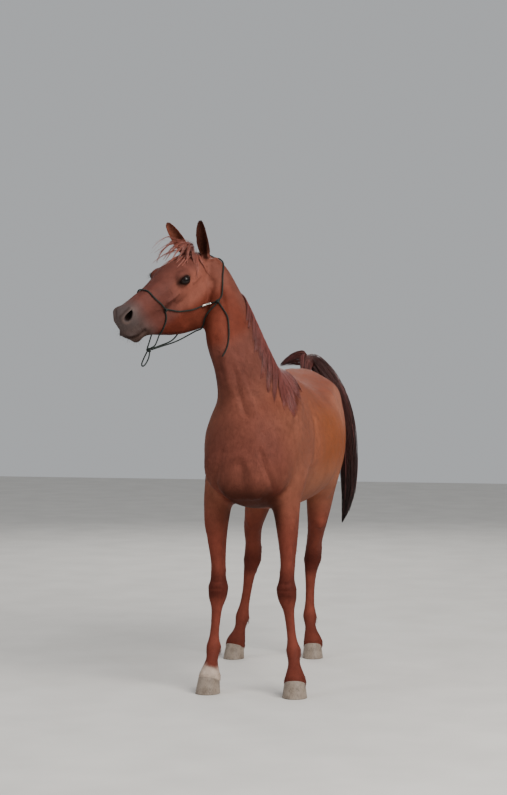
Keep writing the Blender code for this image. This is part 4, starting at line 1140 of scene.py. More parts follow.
def markings(points, out):
    """The coat's linear colour at each place, with its outward direction."""
    colour = np.tile(linear(COAT["body"]), (len(points), 1))

    def over(code, mask):
        nonlocal colour
        mask = np.clip(mask, 0, 1)[:, None]
        colour = colour * (1 - mask) + linear(COAT[code]) * mask

    def past(value, low, high):
        """1 below low, 0 above high."""
        return 1 - ease(value, low, high)

    x, y, z = points.T
    side, ahead, high = in_head(points).T
    over("neck", ease(z, 1.3, 1.46) * past(y, 0.1, 0.24) * 0.85)
    over("flank", ease(y, 0.1, 0.45) * past(z, 1.2, 1.42) * 0.9)
    # Painted shade: the coat is darker where it faces up, to even out the light from above.
    over("top", ease(out[:, 2], 0.25, 0.85) * ease(z, 1.2, 1.3) * 0.7)
    # Painted shade on the breast and on all that faces forward from the chest to the throat; the hair low
    # on the breast is also darker.
    over("breast", past(y, -0.2, -0.02) * past(z, 1.05, 1.3) * ease(z, 0.6, 0.8) * 0.8)
    over("breast", ease(-out[:, 1], 0.35, 0.85) * ease(z, 1.0, 1.1) * past(z, 1.62, 1.72) * 0.7)
    # Painted shade: the coat is darker where it faces down, below the barrel and on the legs; the hair
    # there is also thinner and darker.
    over("under", ease(-out[:, 2], 0.45, 0.9) * past(z, 1.1, 1.2) * 0.7)
    over("belly", ease(y, 0.05, 0.4) * past(z, 0.9, 1.08) * 0.65)
    over("haunch", ease(y, 0.5, 0.85) * ease(z, 1.1, 1.26) * past(out[:, 2], 0.45, 0.85) * 0.65)
    over("leg", past(z, 0.66, 0.98) * 0.95)
    # Painted shade: a deep dark between the forelegs, under the chest.
    between = past(np.abs(x - 0.01), 0.09, 0.15) * past(y, -0.02, 0.12) * ease(z, 0.7, 0.78)
    over("fold", between * past(z, 0.9, 1.0) * 0.75)
    over("joint", ease(z, 0.4, 0.45) * past(z, 0.5, 0.58) * 0.75)
    over("joint", past(z, 0.17, 0.24) * 0.45)
    head = ease(ahead, -0.02, 0.1) * past(-high, 0.27, 0.33) * (z > 1.5)
    over("cheek", head * past(ahead, 0.22, 0.34) * 0.85)
    over("face", head * ease(ahead, 0.2, 0.36) * 0.9)
    over("face", head * ease(high, -0.02, 0.03) * 0.8)
    over("jaw", head * ease(-high - 0.16 * ahead, 0.075, 0.125) * past(ahead, 0.4, 0.47) * 0.75)
    over("muzzle", head * ease(ahead + 0.45 * np.maximum(0, -0.04 - high), 0.43, 0.54) * 0.95)
    over("chin", head * ease(ahead, 0.42, 0.46) * ease(-high, 0.112, 0.145) * 0.85)
    # Painted shade: a dark band on the upper lip, between the nostril and the mouth.
    over("chin", head * ease(ahead, 0.46, 0.5) * bell(high, -0.092, 0.014) * 0.55)
    # A pale band along the lower lip: its lighter skin, with a painted highlight on its round.
    over("rim", head * ease(ahead, 0.46, 0.5) * bell(high, -0.142, 0.01) * 0.45)
    # Painted shade in the slit of the mouth, between the lips.
    over("lips", head * ease(ahead, 0.45, 0.49) * past(np.abs(high + 0.122), 0.006, 0.018) * 0.8)
    for side in (1, -1):
        way, reach, gap, u, v = around_eye(points, side)
        wide = gap / (1 + 0.45 * np.abs(u))
        over("lips", past(reach, 0.036, 0.05) * past(wide, 0.2, 0.75) * 0.6)
        over("dark", past(reach, 0.036, 0.05) * past(wide, 0.14, 0.42) * 0.92)
        inward, q, v, outside = around_nostril(points, nostrils[side], side)
        near = near_to(points, nostrils[side], 0.045, 0.052)
        # Painted shade in the deep pit of the nostril.
        over("dark", near * past(q, 0.86, 1.12) * 0.96)
        # Painted shade in the groove round the nostril's wing.
        over("chin", near * bell(q, 1.85, 0.25) * (v > 0) * 0.6)
        # Painted highlight on the nostril's raised rim.
        over("rim", near * bell(q, 1.3, 0.14) * 0.55)
        # Painted shade in the corner of the mouth.
        over("dark", near_to(points, head_point(0.035, 0.474, -0.127, side), 0.003, 0.013) * 0.6)
    for name, (root, axis, front, across), up, t, away in along_ears(points):
        within = (norms(away) < 0.04) * ease(t, -0.02, 0.1)
        # Painted shade: the left ear is turned from the light and is darkened all over and most in its cup;
        # the right ear's cup is a little darker.
        whole, opened, amount = (0.45, -0.5, 0.72) if name == "left" else (0, 0.0, 0.2)
        over("ear_back", within * 0.8)
        over("ear_painted_shade", within * whole)
        over("ear_painted_shade", within * ease(out @ front, opened, opened + 0.6) * amount)
        over("dark", within * ease(t, 0.82, 1.0) * 0.35)
    # The dock is darkened to the colour of the tail hair over it, and as painted shade under the arch of
    # the tail.
    over("dark", ease(z, 1.36, 1.42) * near_to(points, (0.0, 1.23, 1.46), 0.11, 0.135) * 0.9)
    foot = np.array(stance(*LIMBS[1])[-2][:3])
    band = near_to(points, foot + (0.0, -0.005, 0.015), 0.05, 0.085)
    edge = z + 0.011 * drift(points, 70, 9)
    over("white", band * ease(-(y - foot[1]), -0.035, 0.01) * past(edge, 0.098, 0.136))
    shade = 1 + 0.07 * drift(points, 14, 5) + 0.05 * drift(points, 45, 6)
    return np.clip(colour * shade[:, None], 0, 1)


def paint(mesh, colours):
    """A colour attribute on the mesh's corners."""
    layer = mesh.color_attributes.new("markings", "FLOAT_COLOR", "POINT")
    flat = np.ones((len(mesh.vertices), 4))
    flat[:, :3] = np.clip(colours, 0, 1).reshape(-1, 3)
    layer.data.foreach_set("color", flat.ravel())


paint(skin.data, markings(clay.co, clay.out))
print("markings on", len(clay.co), "corners from", len(COAT), "colours")

# %% [markdown]
# A summer coat is about a centimetre of fine hair lying flat, with a silky gloss. Single hairs of 0.05 mm
# can't show, so the bump draws strands about 1.5 mm wide, drawn out along the lie of the hair: backwards
# on the barrel, downwards on neck and legs. An attribute says which. Mane and tail are coarser and
# glossier. The sheen is the soft light that fine hair scatters at a grazing view.

# %% Coat and hair materials
def lie_share(points):
    """1 where the hair runs backwards, 0 where it runs down."""
    x, y, z = points.T
    return ease(y, 0.12, 0.45) * ease(z, 0.85, 1.05) * (1 - ease(y, 1.0, 1.2))


def hair_look(tree, drawn, pattern, limits, strength, depth):
    """The painted colour, darker or lighter by a pattern within limits, and the drawn strands raised."""
    painted = add(tree, "Attribute", attribute_name="markings")
    ends = dict(zip(("From Min", "From Max", "To Min", "To Max"), limits))
    shade = add(tree, "MapRange", {"Value": pattern, **ends})
    add(tree, "VectorMath", {0: painted, "Scale": shade}, to="Base Color", operation="SCALE")
    add(tree, "Bump", {"Height": drawn, "Strength": strength, "Distance": depth}, to="Normal")


def coat_material(name, strength, sheen):
    soft = {"Sheen_Weight": sheen, "Sheen_Roughness": 0.45, "Sheen_Tint": (*linear("#d9a48c"), 1)}
    made, tree, place = finish(name, 0.56, Specular_IOR_Level=0.05, **soft)
    lie = add(tree, "Attribute", attribute_name="lie", give="Fac")
    runs = []
    for scale in ((650, 650, 110), (650, 110, 650)):
        drawn = add(tree, "Mapping", {"Vector": place, "Scale": scale})
        runs.append(add(tree, "TexNoise", {"Vector": drawn, "Scale": 1.0, "Detail": 3.0}))
    mixed = add(tree, "Mix", {"Factor": lie, "A": runs[0], "B": runs[1]})
    patches = add(tree, "TexNoise", {"Vector": place, "Scale": 38.0, "Detail": 4.0})
    light = add(tree, "Math", {0: mixed, 1: patches}, operation="ADD")
    hair_look(tree, mixed, light, (0.6, 1.4, 0.8, 1.2), strength, 0.0008)
    limits = {"Value": patches, "From Min": 0.3, "From Max": 0.7, "To Min": 0.5, "To Max": 0.66}
    add(tree, "MapRange", limits, to="Roughness")
    return made


def hair_material(name, roughness, sheen):
    """Coarse hair: glossy along its length, with finer streaks than the strands themselves."""
    made, tree, place = finish(name, roughness, Sheen_Weight=sheen, Specular_IOR_Level=0.4)
    drawn = add(tree, "Mapping", {"Vector": place, "Scale": (700, 700, 60)})
    run = add(tree, "TexNoise", {"Vector": drawn, "Scale": 1.0, "Detail": 2.0})
    hair_look(tree, run, run, (0.3, 0.7, 0.7, 1.25), 0.35, 0.0006)
    return made


def mark_lie(mesh, values):
    layer = mesh.attributes.new("lie", "FLOAT", "POINT")
    layer.data.foreach_set("value", np.asarray(values, float))


skin_finish = coat_material("chestnut_short_coat", 0.55, 0.0)
tuft_finish = coat_material("chestnut_hair_tufts", 0.2, 0.02)
mane_finish = hair_material("mane_horsehair", 0.42, 0.1)
tail_finish = hair_material("tail_horsehair", 0.4, 0.06)
skin.data.materials.append(skin_finish)
mark_lie(skin.data, lie_share(clay.co))
print("hair finishes", 4)

# %% [markdown]
# A whole coat is many thousand small things, so it is made as one joined mesh from arrays, not by an
# operator for each. Every tuft is a thin blade of three triangles: two corners at the root, two halfway,
# one at the tip. Each keeps a tiny patch in a UV map at its root's place on an unwrap of the body, so
# that a baked colour stays the colour of that place.

# %% An unwrap of the body's own shape
def body_unwrap():
    """A light copy of the skin, unwrapped, and the tree that finds places on it."""
    light = placed_object("unwrap", skin.data.copy())
    fewer = light.modifiers.new("fewer", "DECIMATE")
    fewer.ratio = 0.04
    light = settled(light, "unwrap")
    light.data.transform(Matrix.Translation(-SHIFT))
    bpy.context.view_layer.objects.active = light
    light.select_set(True)
    bpy.ops.object.mode_set(mode="EDIT")
    bpy.ops.mesh.select_all(action="SELECT")
    bpy.ops.uv.smart_project(angle_limit=math.radians(66), island_margin=0.004)
    bpy.ops.object.mode_set(mode="OBJECT")
    light.data.calc_loop_triangles()
    corners = np.array([t.vertices[:] for t in light.data.loop_triangles])
    loops = np.array([t.loops[:] for t in light.data.loop_triangles])
    uv = np.empty(len(light.data.loops) * 2)
    light.data.uv_layers.active.data.foreach_get("uv", uv)
    verts = places(light)
    bpy.data.objects.remove(light)
    return BVHTree.FromPolygons(verts.tolist(), corners.tolist()), verts[corners], uv.reshape(-1, 2)[loops]


unwrap_tree, unwrap_corners, unwrap_patches = body_unwrap()


def dots(a, b):
    return np.einsum("ij,ij->i", a, b)


def on_unwrap(points):
    """Where places on the skin lie on the unwrap."""
    found = [unwrap_tree.find_nearest(Vector(p)) for p in points]
    index = np.array([f[2] for f in found])
    place = np.array([tuple(f[0]) for f in found])
    a, b, c = (unwrap_corners[index, k] for k in range(3))
    normal = np.cross(b - a, c - a)
    area = dots(normal, normal)
    wb = dots(np.cross(place - a, c - a), normal) / area
    wc = dots(np.cross(b - a, place - a), normal) / area
    weights = np.stack([1 - wb - wc, wb, wc], axis=1)
    return np.einsum("ij,ijk->ik", weights, unwrap_patches[index])


PATCH = 0.003  # width of one tuft's patch on the unwrap


def joined_mesh(name, verts, triangles, uv, material):
    """One mesh from arrays of corners and triangles, with its OFBake map. The horse's frame comes in."""
    mesh = bpy.data.meshes.new(name)
    mesh.vertices.add(len(verts))
    mesh.vertices.foreach_set("co", (verts + np.array(SHIFT)).ravel())
    mesh.loops.add(triangles.size)
    mesh.loops.foreach_set("vertex_index", triangles.ravel())
    mesh.polygons.add(len(triangles))
    mesh.polygons.foreach_set("loop_start", np.arange(len(triangles)) * 3)
    mesh.polygons.foreach_set("use_smooth", np.ones(len(triangles), bool))
    mesh.update(calc_edges=True)
    mesh.uv_layers.new(name="OFBake").data.foreach_set("uv", uv[triangles.ravel()].ravel())
    mesh.materials.append(material)
    made = placed_object(name, mesh)
    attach(made, "root")
    return made


print("unwrap faces", len(unwrap_corners))

# %% The lie of the coat and the tufts
def unit(ways):
    return ways / np.maximum(norms(ways), 1e-6)[:, None]


def tangent(ways, out):
    return unit(ways - out * dots(ways, out)[:, None])


def lie_of_coat(points, out):
    """Which way the hair lies at each place, along the skin."""
    x, y, z = points.T
    share = lie_share(points)[:, None]
    ways = np.array((0.0, 0.1, -1.0)) * (1 - share) + np.array((0.0, 0.9, -0.42)) * share
    high = ease(z, 1.3, 1.45)[:, None] * (1 - ease(y, 0.2, 0.35))[:, None]
    ways = ways * (1 - high) + np.array((0.1, 0.45, -0.9)) * high
    face = face_share(points)[:, None]
    ways = ways * (1 - face) + (head_axes @ np.array((0, 0.95, -0.3))) * face
    ways = ways + 0.16 * np.stack([drift(points, 22, s) for s in (11, 12, 13)], axis=1)
    for name, (root, axis, front, side), up, t, away in along_ears(points):
        ways[(up > 0.012) & (norms(away) < 0.042)] = axis
    return tangent(ways, out)


skin.data.calc_loop_triangles()
tri = np.empty(len(skin.data.loop_triangles) * 3, int)
skin.data.loop_triangles.foreach_get("vertices", tri)
tri = tri.reshape(-1, 3)
tri_co = clay.co[tri]
tri_area = norms(np.cross(tri_co[:, 1] - tri_co[:, 0], tri_co[:, 2] - tri_co[:, 0])) / 2
tri_mid = tri_co.mean(1)
print("skin area", round(float(tri_area.sum()), 2), "m2")


def scattered(weights, count, rng):
    """Random places on the skin, thicker where the weights are higher, with outward directions."""
    odds = tri_area * weights
    pick = rng.choice(len(odds), count, p=odds / odds.sum())
    a, b = rng.random((2, count))
    fold = a + b > 1
    a[fold], b[fold] = 1 - a[fold], 1 - b[fold]
    w = np.stack([1 - a - b, a, b], axis=1)
    points = np.einsum("ij,ijk->ik", w, tri_co[pick])
    out = np.einsum("ij,ijk->ik", w, clay.out[tri[pick]])
    return points, out / norms(out)[:, None]


def grown(points):
    """How long, how wide and how far off the skin a tuft is: smallest on the face and the feet."""
    local = in_head(points)
    face = ease(local[:, 1], -0.16, 0.16) * (1 - ease(-local[:, 2], 0.22, 0.46)) * (points[:, 2] > 1.35)
    low = 1 - ease(points[:, 2], 0.1, 0.85)
    lips = ease(local[:, 1], 0.36, 0.5) * face
    length = 0.0135 * (1 - 0.58 * face - 0.14 * lips) * (1 - 0.4 * low) * (1 - 0.45 * ear_share(points))
    width = 0.00125 * (1 - 0.3 * face - 0.15 * lips) * (1 - 0.15 * low)
    lift = 0.0012 * (1 - 0.45 * face - 0.25 * lips) * (1 - 0.25 * low)
    return length, width, lift


def tufts(name, weights, count, seed):
    """A coat piece: thin pointed tufts, thrown where the weights are, that lie along the coat."""
    rng = np.random.default_rng(seed)
    roots, out = scattered(weights, count, rng)
    ways = tangent(lie_of_coat(roots, out) + 0.14 * rng.normal(size=roots.shape), out)
    side = np.cross(out, ways)
    vary = rng.uniform(0.7, 1.25, count)
    length, width, lift = grown(roots)
    long = (length * vary)[:, None]
    half = (width * vary)[:, None] / 2
    rise = (lift * rng.uniform(0.4, 1.1, count))[:, None]
    start = roots - out * 0.0005
    middle = roots + ways * long * 0.5 + out * rise * 0.75
    tip = roots + ways * long + out * rise
    narrow = side * half * 0.9
    corners = (start - side * half, start + side * half, middle - narrow, middle + narrow, tip)
    verts = np.stack(corners, axis=1)
    shape = np.array([[0, 1, 3], [0, 3, 2], [2, 3, 4]])
    triangles = (np.arange(count)[:, None, None] * 5 + shape[None]).reshape(-1, 3)
    patch = np.array([[-0.5, -0.5], [0.5, -0.5], [-0.4, 0.1], [0.4, 0.1], [0, 0.5]]) * PATCH
    uv = np.repeat(on_unwrap(roots), 5, axis=0) + np.tile(patch, (count, 1))
    made = joined_mesh(name, verts.reshape(-1, 3), triangles, uv, tuft_finish)
    colours = markings(roots, out) * rng.uniform(0.9, 1.14, count)[:, None]
    # Each tuft is darker at its root and lighter at its tip: painted shade where it lies in the coat,
    # painted light where it stands out.
    paint(made.data, colours[:, None, :] * np.array([0.94, 0.94, 1.0, 1.0, 1.06])[None, :, None])
    mark_lie(made.data, np.repeat(lie_share(roots), 5))
    print(name, "tufts", count, "triangles", count * 3)


x, y, z = tri_mid.T
face, ears, leg = face_share(tri_mid), ear_share(tri_mid), 1 - ease(z, 0.6, 0.8)
bare = np.zeros(len(tri_mid))
for side in (1, -1):
    way, reach, gap, u, v = around_eye(tri_mid, side)
    bare = np.maximum(bare, (reach < 0.045) * (1 - ease(gap, 0.3, 0.4)))
    bare = np.maximum(bare, near_to(tri_mid, nostrils[side], 0.029, 0.034))
bare = np.maximum(bare, face * ease(in_head(tri_mid)[:, 1], 0.5, 0.56) * 0.6)
quick = 1.0
body = (1 - leg) * (1 - face) * (1 - ears)
places_of = {
    "coat_neck": (body * (z > 1.3) * (y < 0.16), 60000),
    "coat_chest": (body * (z <= 1.3) * (y < 0.16), 56000),
    "coat_barrel": (body * (y >= 0.16) * (y < 0.72), 64000),
    "coat_croup": (body * (y >= 0.72), 62000),
    "coat_fore_legs": (leg * (y < 0.45), 36000),
    "coat_hind_legs": (leg * (y >= 0.45), 40000),
    "coat_head": (np.maximum(face, ears) * (1 - bare), 64000),
}
for seed, (name, (weights, count)) in enumerate(places_of.items(), 21):
    tufts(name, weights, int(count * quick), seed)

# %% [markdown]
# Long hair hangs in locks. A lock is a few dozen strands that start apart and draw together towards a
# shared tip. Each strand is a thin three-sided tube, and all the strands of one head of hair are one
# mesh from arrays. The paths come from guides: rows across the mane, the tail's centre line, lines laid
# on the forehead.

# %% Strands
def strands(name, paths, radii, material, colours, flat=0.6, count=3):
    """A mesh of tapered tubes along paths (strand, step, xyz) with radii (strand, step)."""
    number, steps = radii.shape
    along = np.gradient(paths, axis=1)
    along /= np.maximum(np.linalg.norm(along, axis=2, keepdims=True), 1e-9)
    hint = np.where(np.abs(along[..., 2:3]) < 0.9, np.array((0, 0, 1.0)), np.array((0, 1.0, 0)))
    side = np.cross(along, hint)
    side /= np.maximum(np.linalg.norm(side, axis=2, keepdims=True), 1e-9)
    up = np.cross(side, along)
    angles = 2 * np.pi * np.arange(count) / count
    wide, tall = np.cos(angles)[None, None, :, None], np.sin(angles)[None, None, :, None]
    off = wide * side[:, :, None, :] + flat * tall * up[:, :, None, :]
    rings = paths[:, :, None, :] + radii[:, :, None, None] * off
    k = np.arange(count)
    j = (k + 1) % count
    rows = (np.arange(steps - 1) * count)[:, None]
    near = np.stack([rows + k, rows + count + k, rows + j], axis=-1).reshape(-1, 3)
    far = np.stack([rows + j, rows + count + k, rows + count + j], axis=-1).reshape(-1, 3)
    fan = np.stack([np.zeros(count - 2, int), k[1:-1], k[2:]], axis=-1)
    tube = np.concatenate([near, far, fan, (fan + (steps - 1) * count)[:, ::-1]])
    triangles = ((np.arange(number) * steps * count)[:, None, None] + tube[None]).reshape(-1, 3)
    spots = np.repeat(on_unwrap(paths[:, 0]), steps * count, axis=0)
    u = np.tile(k / count - 0.5, steps)
    v = np.repeat(np.arange(steps) / (steps - 1) - 0.5, count)
    uv = spots + np.tile(np.stack([u, v], axis=1) * PATCH, (number, 1))
    made = joined_mesh(name, rings.reshape(-1, 3), triangles, uv, material)
    fade = np.repeat(np.linspace(0, 1, steps), count)[None, :, None]
    paint(made.data, colours[:, 0][:, None, :] * (1 - fade) + colours[:, 1][:, None, :] * fade)
    print(name, "strands", number, "triangles", len(triangles))
    return made


def hair_tones(rng, number, root, tip, spread=0.22):
    """Root and tip colours for each strand, varied a little in lightness."""
    light = rng.uniform(1 - spread, 1 + spread, (number, 1))
    return np.stack([linear(root) * light, linear(tip) * light], axis=1)


def evened(line, rounds=1):
    """Each inner place drawn towards its neighbours; on one line or on many at once."""
    for again in range(rounds):
        line[..., 1:-1, :] = (line[..., :-2, :] + 2 * line[..., 1:-1, :] + line[..., 2:, :]) / 4
    return line


skin_tree = BVHTree.FromPolygons(clay.co.tolist(), tri.tolist())


def lay_on_skin(points, lifts):
    """Points brought to set heights over the skin."""
    out = []
    for point, lift in zip(points, lifts):
        near, normal, index, away = skin_tree.find_nearest(Vector(point))
        out.append(tuple(near + normal * float(lift)))
    return np.array(out)


# %% [markdown]
# The mane is fine and rather thin and falls on the left. Its rows run from the crest to the tips, and a
# strand starts on one row and ends on a lower one, because hair on a neck that stands this steep falls
# nearly straight down. Strands gather in pointed locks, with gaps where the coat shows between them.

# %% Mane
# The crest's place, or only its share of the neck's length; then the tips' place.
MANE_ROWS = routes("""
785, -62 -50 1800
715, -40 -75 1728
643, -25 -80 1680
571, -12 -84 1634
500, 8 -86 1567
430, 23 -100 1500
360, 52 -98 1412
-5 200 1455, 85 -81 1345
0 235 1468, 119 -94 1279
10 265 1475, 150 -95 1226
30 285 1470, 178 -10 1236
50 300 1462, 192 100 1285
70 310 1452, 172 250 1350
""")
MANE_DEPTH = 0.012
fine_frames = neck_frames(20)
mane_rows = []
for crest, tip in MANE_ROWS:
    if len(crest) == 1:
        centre, side, up, row = fine_frames[round(crest[0] * (len(fine_frames) - 1))]
        crest = centre + up * row[5] - side * 0.004
    mane_rows.append((*crest, *tip))
mane_rows = smooth_run(mane_rows, 10)


def mane_place(row, reach):
    """A place on the mane's sheet: rows from poll to withers, reach from crest to tips."""
    at = np.clip(row, 0, 1) * (len(mane_rows) - 1)
    low = np.minimum(at.astype(int), len(mane_rows) - 2)
    share = (at - low)[:, None]
    both = mane_rows[low] * (1 - share) + mane_rows[low + 1] * share
    return both[:, :3] * (1 - reach[:, None]) + both[:, 3:] * reach[:, None]


def mane_paths(locks, per_lock, steps, rng):
    paths = []
    s = np.linspace(0, 1, steps)
    arch = np.sin(np.pi * np.clip(s * 0.9 + 0.1, 0, 1)) ** 0.7
    for k in range(locks):
        row0 = (k + rng.uniform(0.2, 0.8)) / locks * 0.97
        drop = rng.uniform(0.16, 0.27) * (1 - 0.75 * ease(row0, 0.55, 1.0))
        reach = rng.uniform(0.7, 1.0)
        for j in range(per_lock):
            start = np.clip(row0 + rng.normal() * 0.02, 0, 1)
            end = row0 + drop + rng.normal() * 0.009
            far = np.clip(reach + rng.normal() * 0.05, 0.45, 1.0)
            rows = start + (end - start) * s**1.15
            out = far * s**0.85 + 0.01 * np.sin(6.0 * s + rng.uniform(0, 6.28)) * s
            lift = 0.0015 + MANE_DEPTH * (0.35 + 0.6 * rng.random()) * arch
            points = mane_place(rows, np.clip(out, 0, 1))
            paths.append(lay_on_skin(points, lift * (1 - 0.4 * s)))
    return np.array(paths)


rng = np.random.default_rng(31)
STEPS = 14
mane_strands = evened(mane_paths(38, int(44 * (quick + 0.25 * (quick < 1))), STEPS, rng), 2)
taper = np.linspace(1, 0, STEPS) ** 0.6
radii = rng.uniform(0.0009, 0.0016, (len(mane_strands), 1)) * (0.15 + 0.85 * taper)[None]
tones = hair_tones(rng, len(radii), "#5a2622", "#743a33", 0.35)
mane = strands("mane_locks", mane_strands, radii, mane_finish, tones)
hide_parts("mane")

# %% [markdown]
# The forelock is sparse and blown about: a knot of roots between the ears, strings of hair down the
# forehead as far as the eye, and a few wisps that stand out past the far ear.

# %% Forelock
# Strings laid on the forehead, in the head's frame.
FORELOCK = routes("""
-6 22 30, 6 85 46, 34 150 47, 47 214 42
0 24 30, 26 90 44, 43 145 42, 55 192 36
4 24 28, 38 75 32, 68 112 18, 88 138 -10, 96 146 -36
4 22 26, 34 62 28, 66 100 18, 86 128 -6, 98 168 -34
6 20 24, 44 62 24, 72 80 0, 86 76 -34, 92 66 -66
2 20 28, 30 64 34, 60 98 24, 72 130 6
-12 24 32, -20 90 48, -20 150 52, -18 200 52
-18 24 32, -36 90 46, -44 150 50, -50 212 44
-22 24 32, -50 76 44, -64 136 38, -74 190 28
-20 22 32, -40 80 48, -34 130 54, -36 168 54
-8 22 30, -4 86 48, 12 148 52, 22 186 50
""")
# Free wisps and the cap of hair over the roots; each starts at its own root.
WISP_ROOT, CAP_ROOT = table("""
-262 -88 1980
-262 -82 2006
""")
WISPS = routes("""
-305 -122 2034, -376 -120 2058, -421 -118 2030, -450 -112 1968
-325 -125 1988, -388 -130 1965, -437 -128 1930
-315 -126 2010, -380 -126 2012, -428 -122 1975
-300 -124 2020, -350 -124 2032, -395 -120 2006, -420 -116 1955
""")
CAP = routes("""
-300 -112 2022, -345 -128 1994, -388 -134 1940
-310 -112 2034, -365 -122 2016, -404 -124 1970, -418 -122 1928
-296 -124 2016, -338 -150 1984, -366 -170 1935
-284 -128 2012, -312 -162 1980, -334 -188 1930
-274 -128 2008, -290 -166 1974, -304 -198 1918
-262 -128 2006, -262 -166 1970, -258 -194 1905
-250 -126 2002, -238 -158 1962, -226 -178 1900, -222 -180 1868
""")


def kept_off(points, least):
    """Points in the skin, or nearer to it than least, are brought out of it."""
    out = []
    for point in points:
        near, normal, index, away = skin_tree.find_nearest(Vector(point))
        inside = (Vector(point) - near).dot(normal) < least
        out.append(tuple(near + normal * least) if inside else tuple(point))
    return np.array(out)


def fan_paths(guide, number, spread, steps, rng, laid):
    """Strands round a guide line, apart at the root and drawn together at the tip."""
    line = smooth_run(guide, 10)
    lengths = travel(line)
    out = []
    for k in range(number):
        far = rng.uniform(0.72, 1.0) * lengths[-1]
        path = picked(line, lengths, np.linspace(0, far, steps))
        s = np.linspace(0, 1, steps)[:, None]
        away = rng.normal(size=3) * spread
        path = path + away * (1 - 0.75 * s) * (0.35 + 0.65 * np.sin(np.pi * np.clip(s + 0.1, 0, 1)))
        path = path + 0.0016 * np.sin(9 * s + rng.uniform(0, 6.28, 3))
        if laid:
            lift = 0.002 + 0.007 * rng.random() * np.sin(np.pi * np.linspace(0.15, 0.95, steps))
            path = lay_on_skin(path, lift)
        else:
            path = evened(kept_off(path, 0.003), 4)
        out.append(path)
    return out


rng = np.random.default_rng(41)
fringe = []
for guide in FORELOCK:
    fringe += fan_paths([tuple(head_point(*p)) for p in guide], 30, 0.0048, STEPS, rng, True)
for guide in WISPS:
    fringe += fan_paths([WISP_ROOT] + guide, 12, 0.005, STEPS, rng, False)
for guide in CAP:
    fringe += fan_paths([CAP_ROOT] + guide, 34, 0.0085, STEPS, rng, False)
fringe = evened(np.array(fringe))
radii = rng.uniform(0.0008, 0.0013, (len(fringe), 1)) * (0.2 + 0.8 * taper)[None]
tones = hair_tones(rng, len(radii), "#6c3228", "#9c5a4a")
forelock = strands("forelock_locks", fringe, radii, mane_finish, tones)
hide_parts("forelock")

# %% [markdown]
# The tail is carried high, as Arabians do: hair springs from the raised dock, arches over it and falls
# in one long fan to below the hocks. Each strand follows the tail's centre line, at its own place across
# it, from where it leaves the dock to its own end, and strands share locks that tighten downwards.

# %% Tail
# Centre of each section, half width, half depth.
TAIL = table("""
-150 1262 1470 10 12
-115 1268 1490 26 26
-70 1274 1505 40 38
-15 1280 1508 48 46
40 1286 1478 56 50
86 1290 1415 64 52
130 1294 1325 70 52
164 1296 1235 70 50
186 1296 1135 68 48
199 1293 1030 64 45
206 1288 930 58 40
206 1282 840 50 34
198 1276 760 36 24
184 1270 700 18 13
174 1267 665 4 4
""")
TAIL_STEPS = 22
tail_line = smooth_run(TAIL, 10)
tail_axis = np.gradient(tail_line[:, :3], axis=0)
tail_axis /= norms(tail_axis)[:, None]
tail_depth = tangent(np.tile((0.0, 1.0, 0.0), (len(tail_line), 1)), tail_axis)
tail_across = np.cross(tail_axis, tail_depth)
dock_line = smooth_run(DOCK, 10)


def tail_place(at, u, v):
    """A place in the tail: at runs along its rows, u across and v in depth, both within -1 to 1."""
    at = np.clip(at, 0, len(TAIL) - 1.001) * 10
    low = at.astype(int)
    share = (at - low)[:, None]
    row, across, depth = (
        rows[low] * (1 - share) + rows[low + 1] * share for rows in (tail_line, tail_across, tail_depth)
    )
    u, v = np.clip(u, -0.97, 0.97), np.clip(v, -0.97, 0.97)
    return row[:, :3] + across * (row[:, 3] * u)[:, None] + depth * (row[:, 4] * v)[:, None]


def dock_surface(share, turn, height):
    """A place over the dock: share of its length, a turn from its right side over its front, and a
    height in the dock's own radius."""
    row = dock_line[np.clip((share * (len(dock_line) - 1)).astype(int), 0, len(dock_line) - 1)]
    away = np.stack([np.cos(turn), -0.8 * np.sin(turn), 0.6 * np.sin(turn) + 0.15], axis=1)
    return row[:, :3] + away * row[:, 3:4] * height[:, None]


def tail_paths(number, rng):
    """Strands that spring from the dock's sides and front, arch over and fall; some go left."""
    paths = []
    locks = rng.uniform(-0.8, 0.8, (70, 2))
    s = np.linspace(0, 1, TAIL_STEPS)
    for k in range(number):
        lock = locks[rng.integers(len(locks))]
        angle, radius = rng.uniform(0, 6.28), math.sqrt(rng.random()) * 0.92
        u0, v0 = radius * math.cos(angle), radius * math.sin(angle)
        left = rng.random() < 0.2
        front = rng.random() < 0.42
        if left:
            first, last = 3.1, rng.uniform(0.0, 1.1)
            turn = rng.uniform(1.7, 3.2)
        else:
            first = 2.6 + 1.8 * rng.random()
            last = rng.uniform(10.5, 14.0) if rng.random() < 0.8 else rng.uniform(6, 11)
            turn = rng.uniform(-0.2, 1.7)
        if front:
            v0 = -0.95 + 0.35 * rng.random()
            u0 = abs(u0)
        draw = 0.72 * ease(s, 0.25, 1.0)
        u = u0 * (1 - draw) + lock[0] * draw + 0.05 * np.sin(7 * s + rng.uniform(0, 6.28)) * s
        v = v0 * (1 - draw) + lock[1] * draw
        share = rng.uniform(0.22, 0.98) if front else rng.uniform(0.45, 0.98)
        if not left and rng.random() < 0.22:
            share, first, turn = rng.uniform(0.1, 0.5), rng.uniform(4.4, 5.4), rng.uniform(-0.4, 0.8)
            u = abs(u0) * (1 - draw) + lock[0] * draw
        path = tail_place(first + (last - first) * s, u, v)
        climb = share + (1 - share) * 0.7 * np.linspace(0, 1, 4)
        rise = dock_surface(climb, np.full(4, turn), np.array((0.6, 0.98, 1.14, 1.28)))
        whole = np.concatenate([rise, path[3:] if left else path[2:]])
        length = travel(whole)
        paths.append(picked(whole, length, length[-1] * s**1.15))
    return np.array(paths)


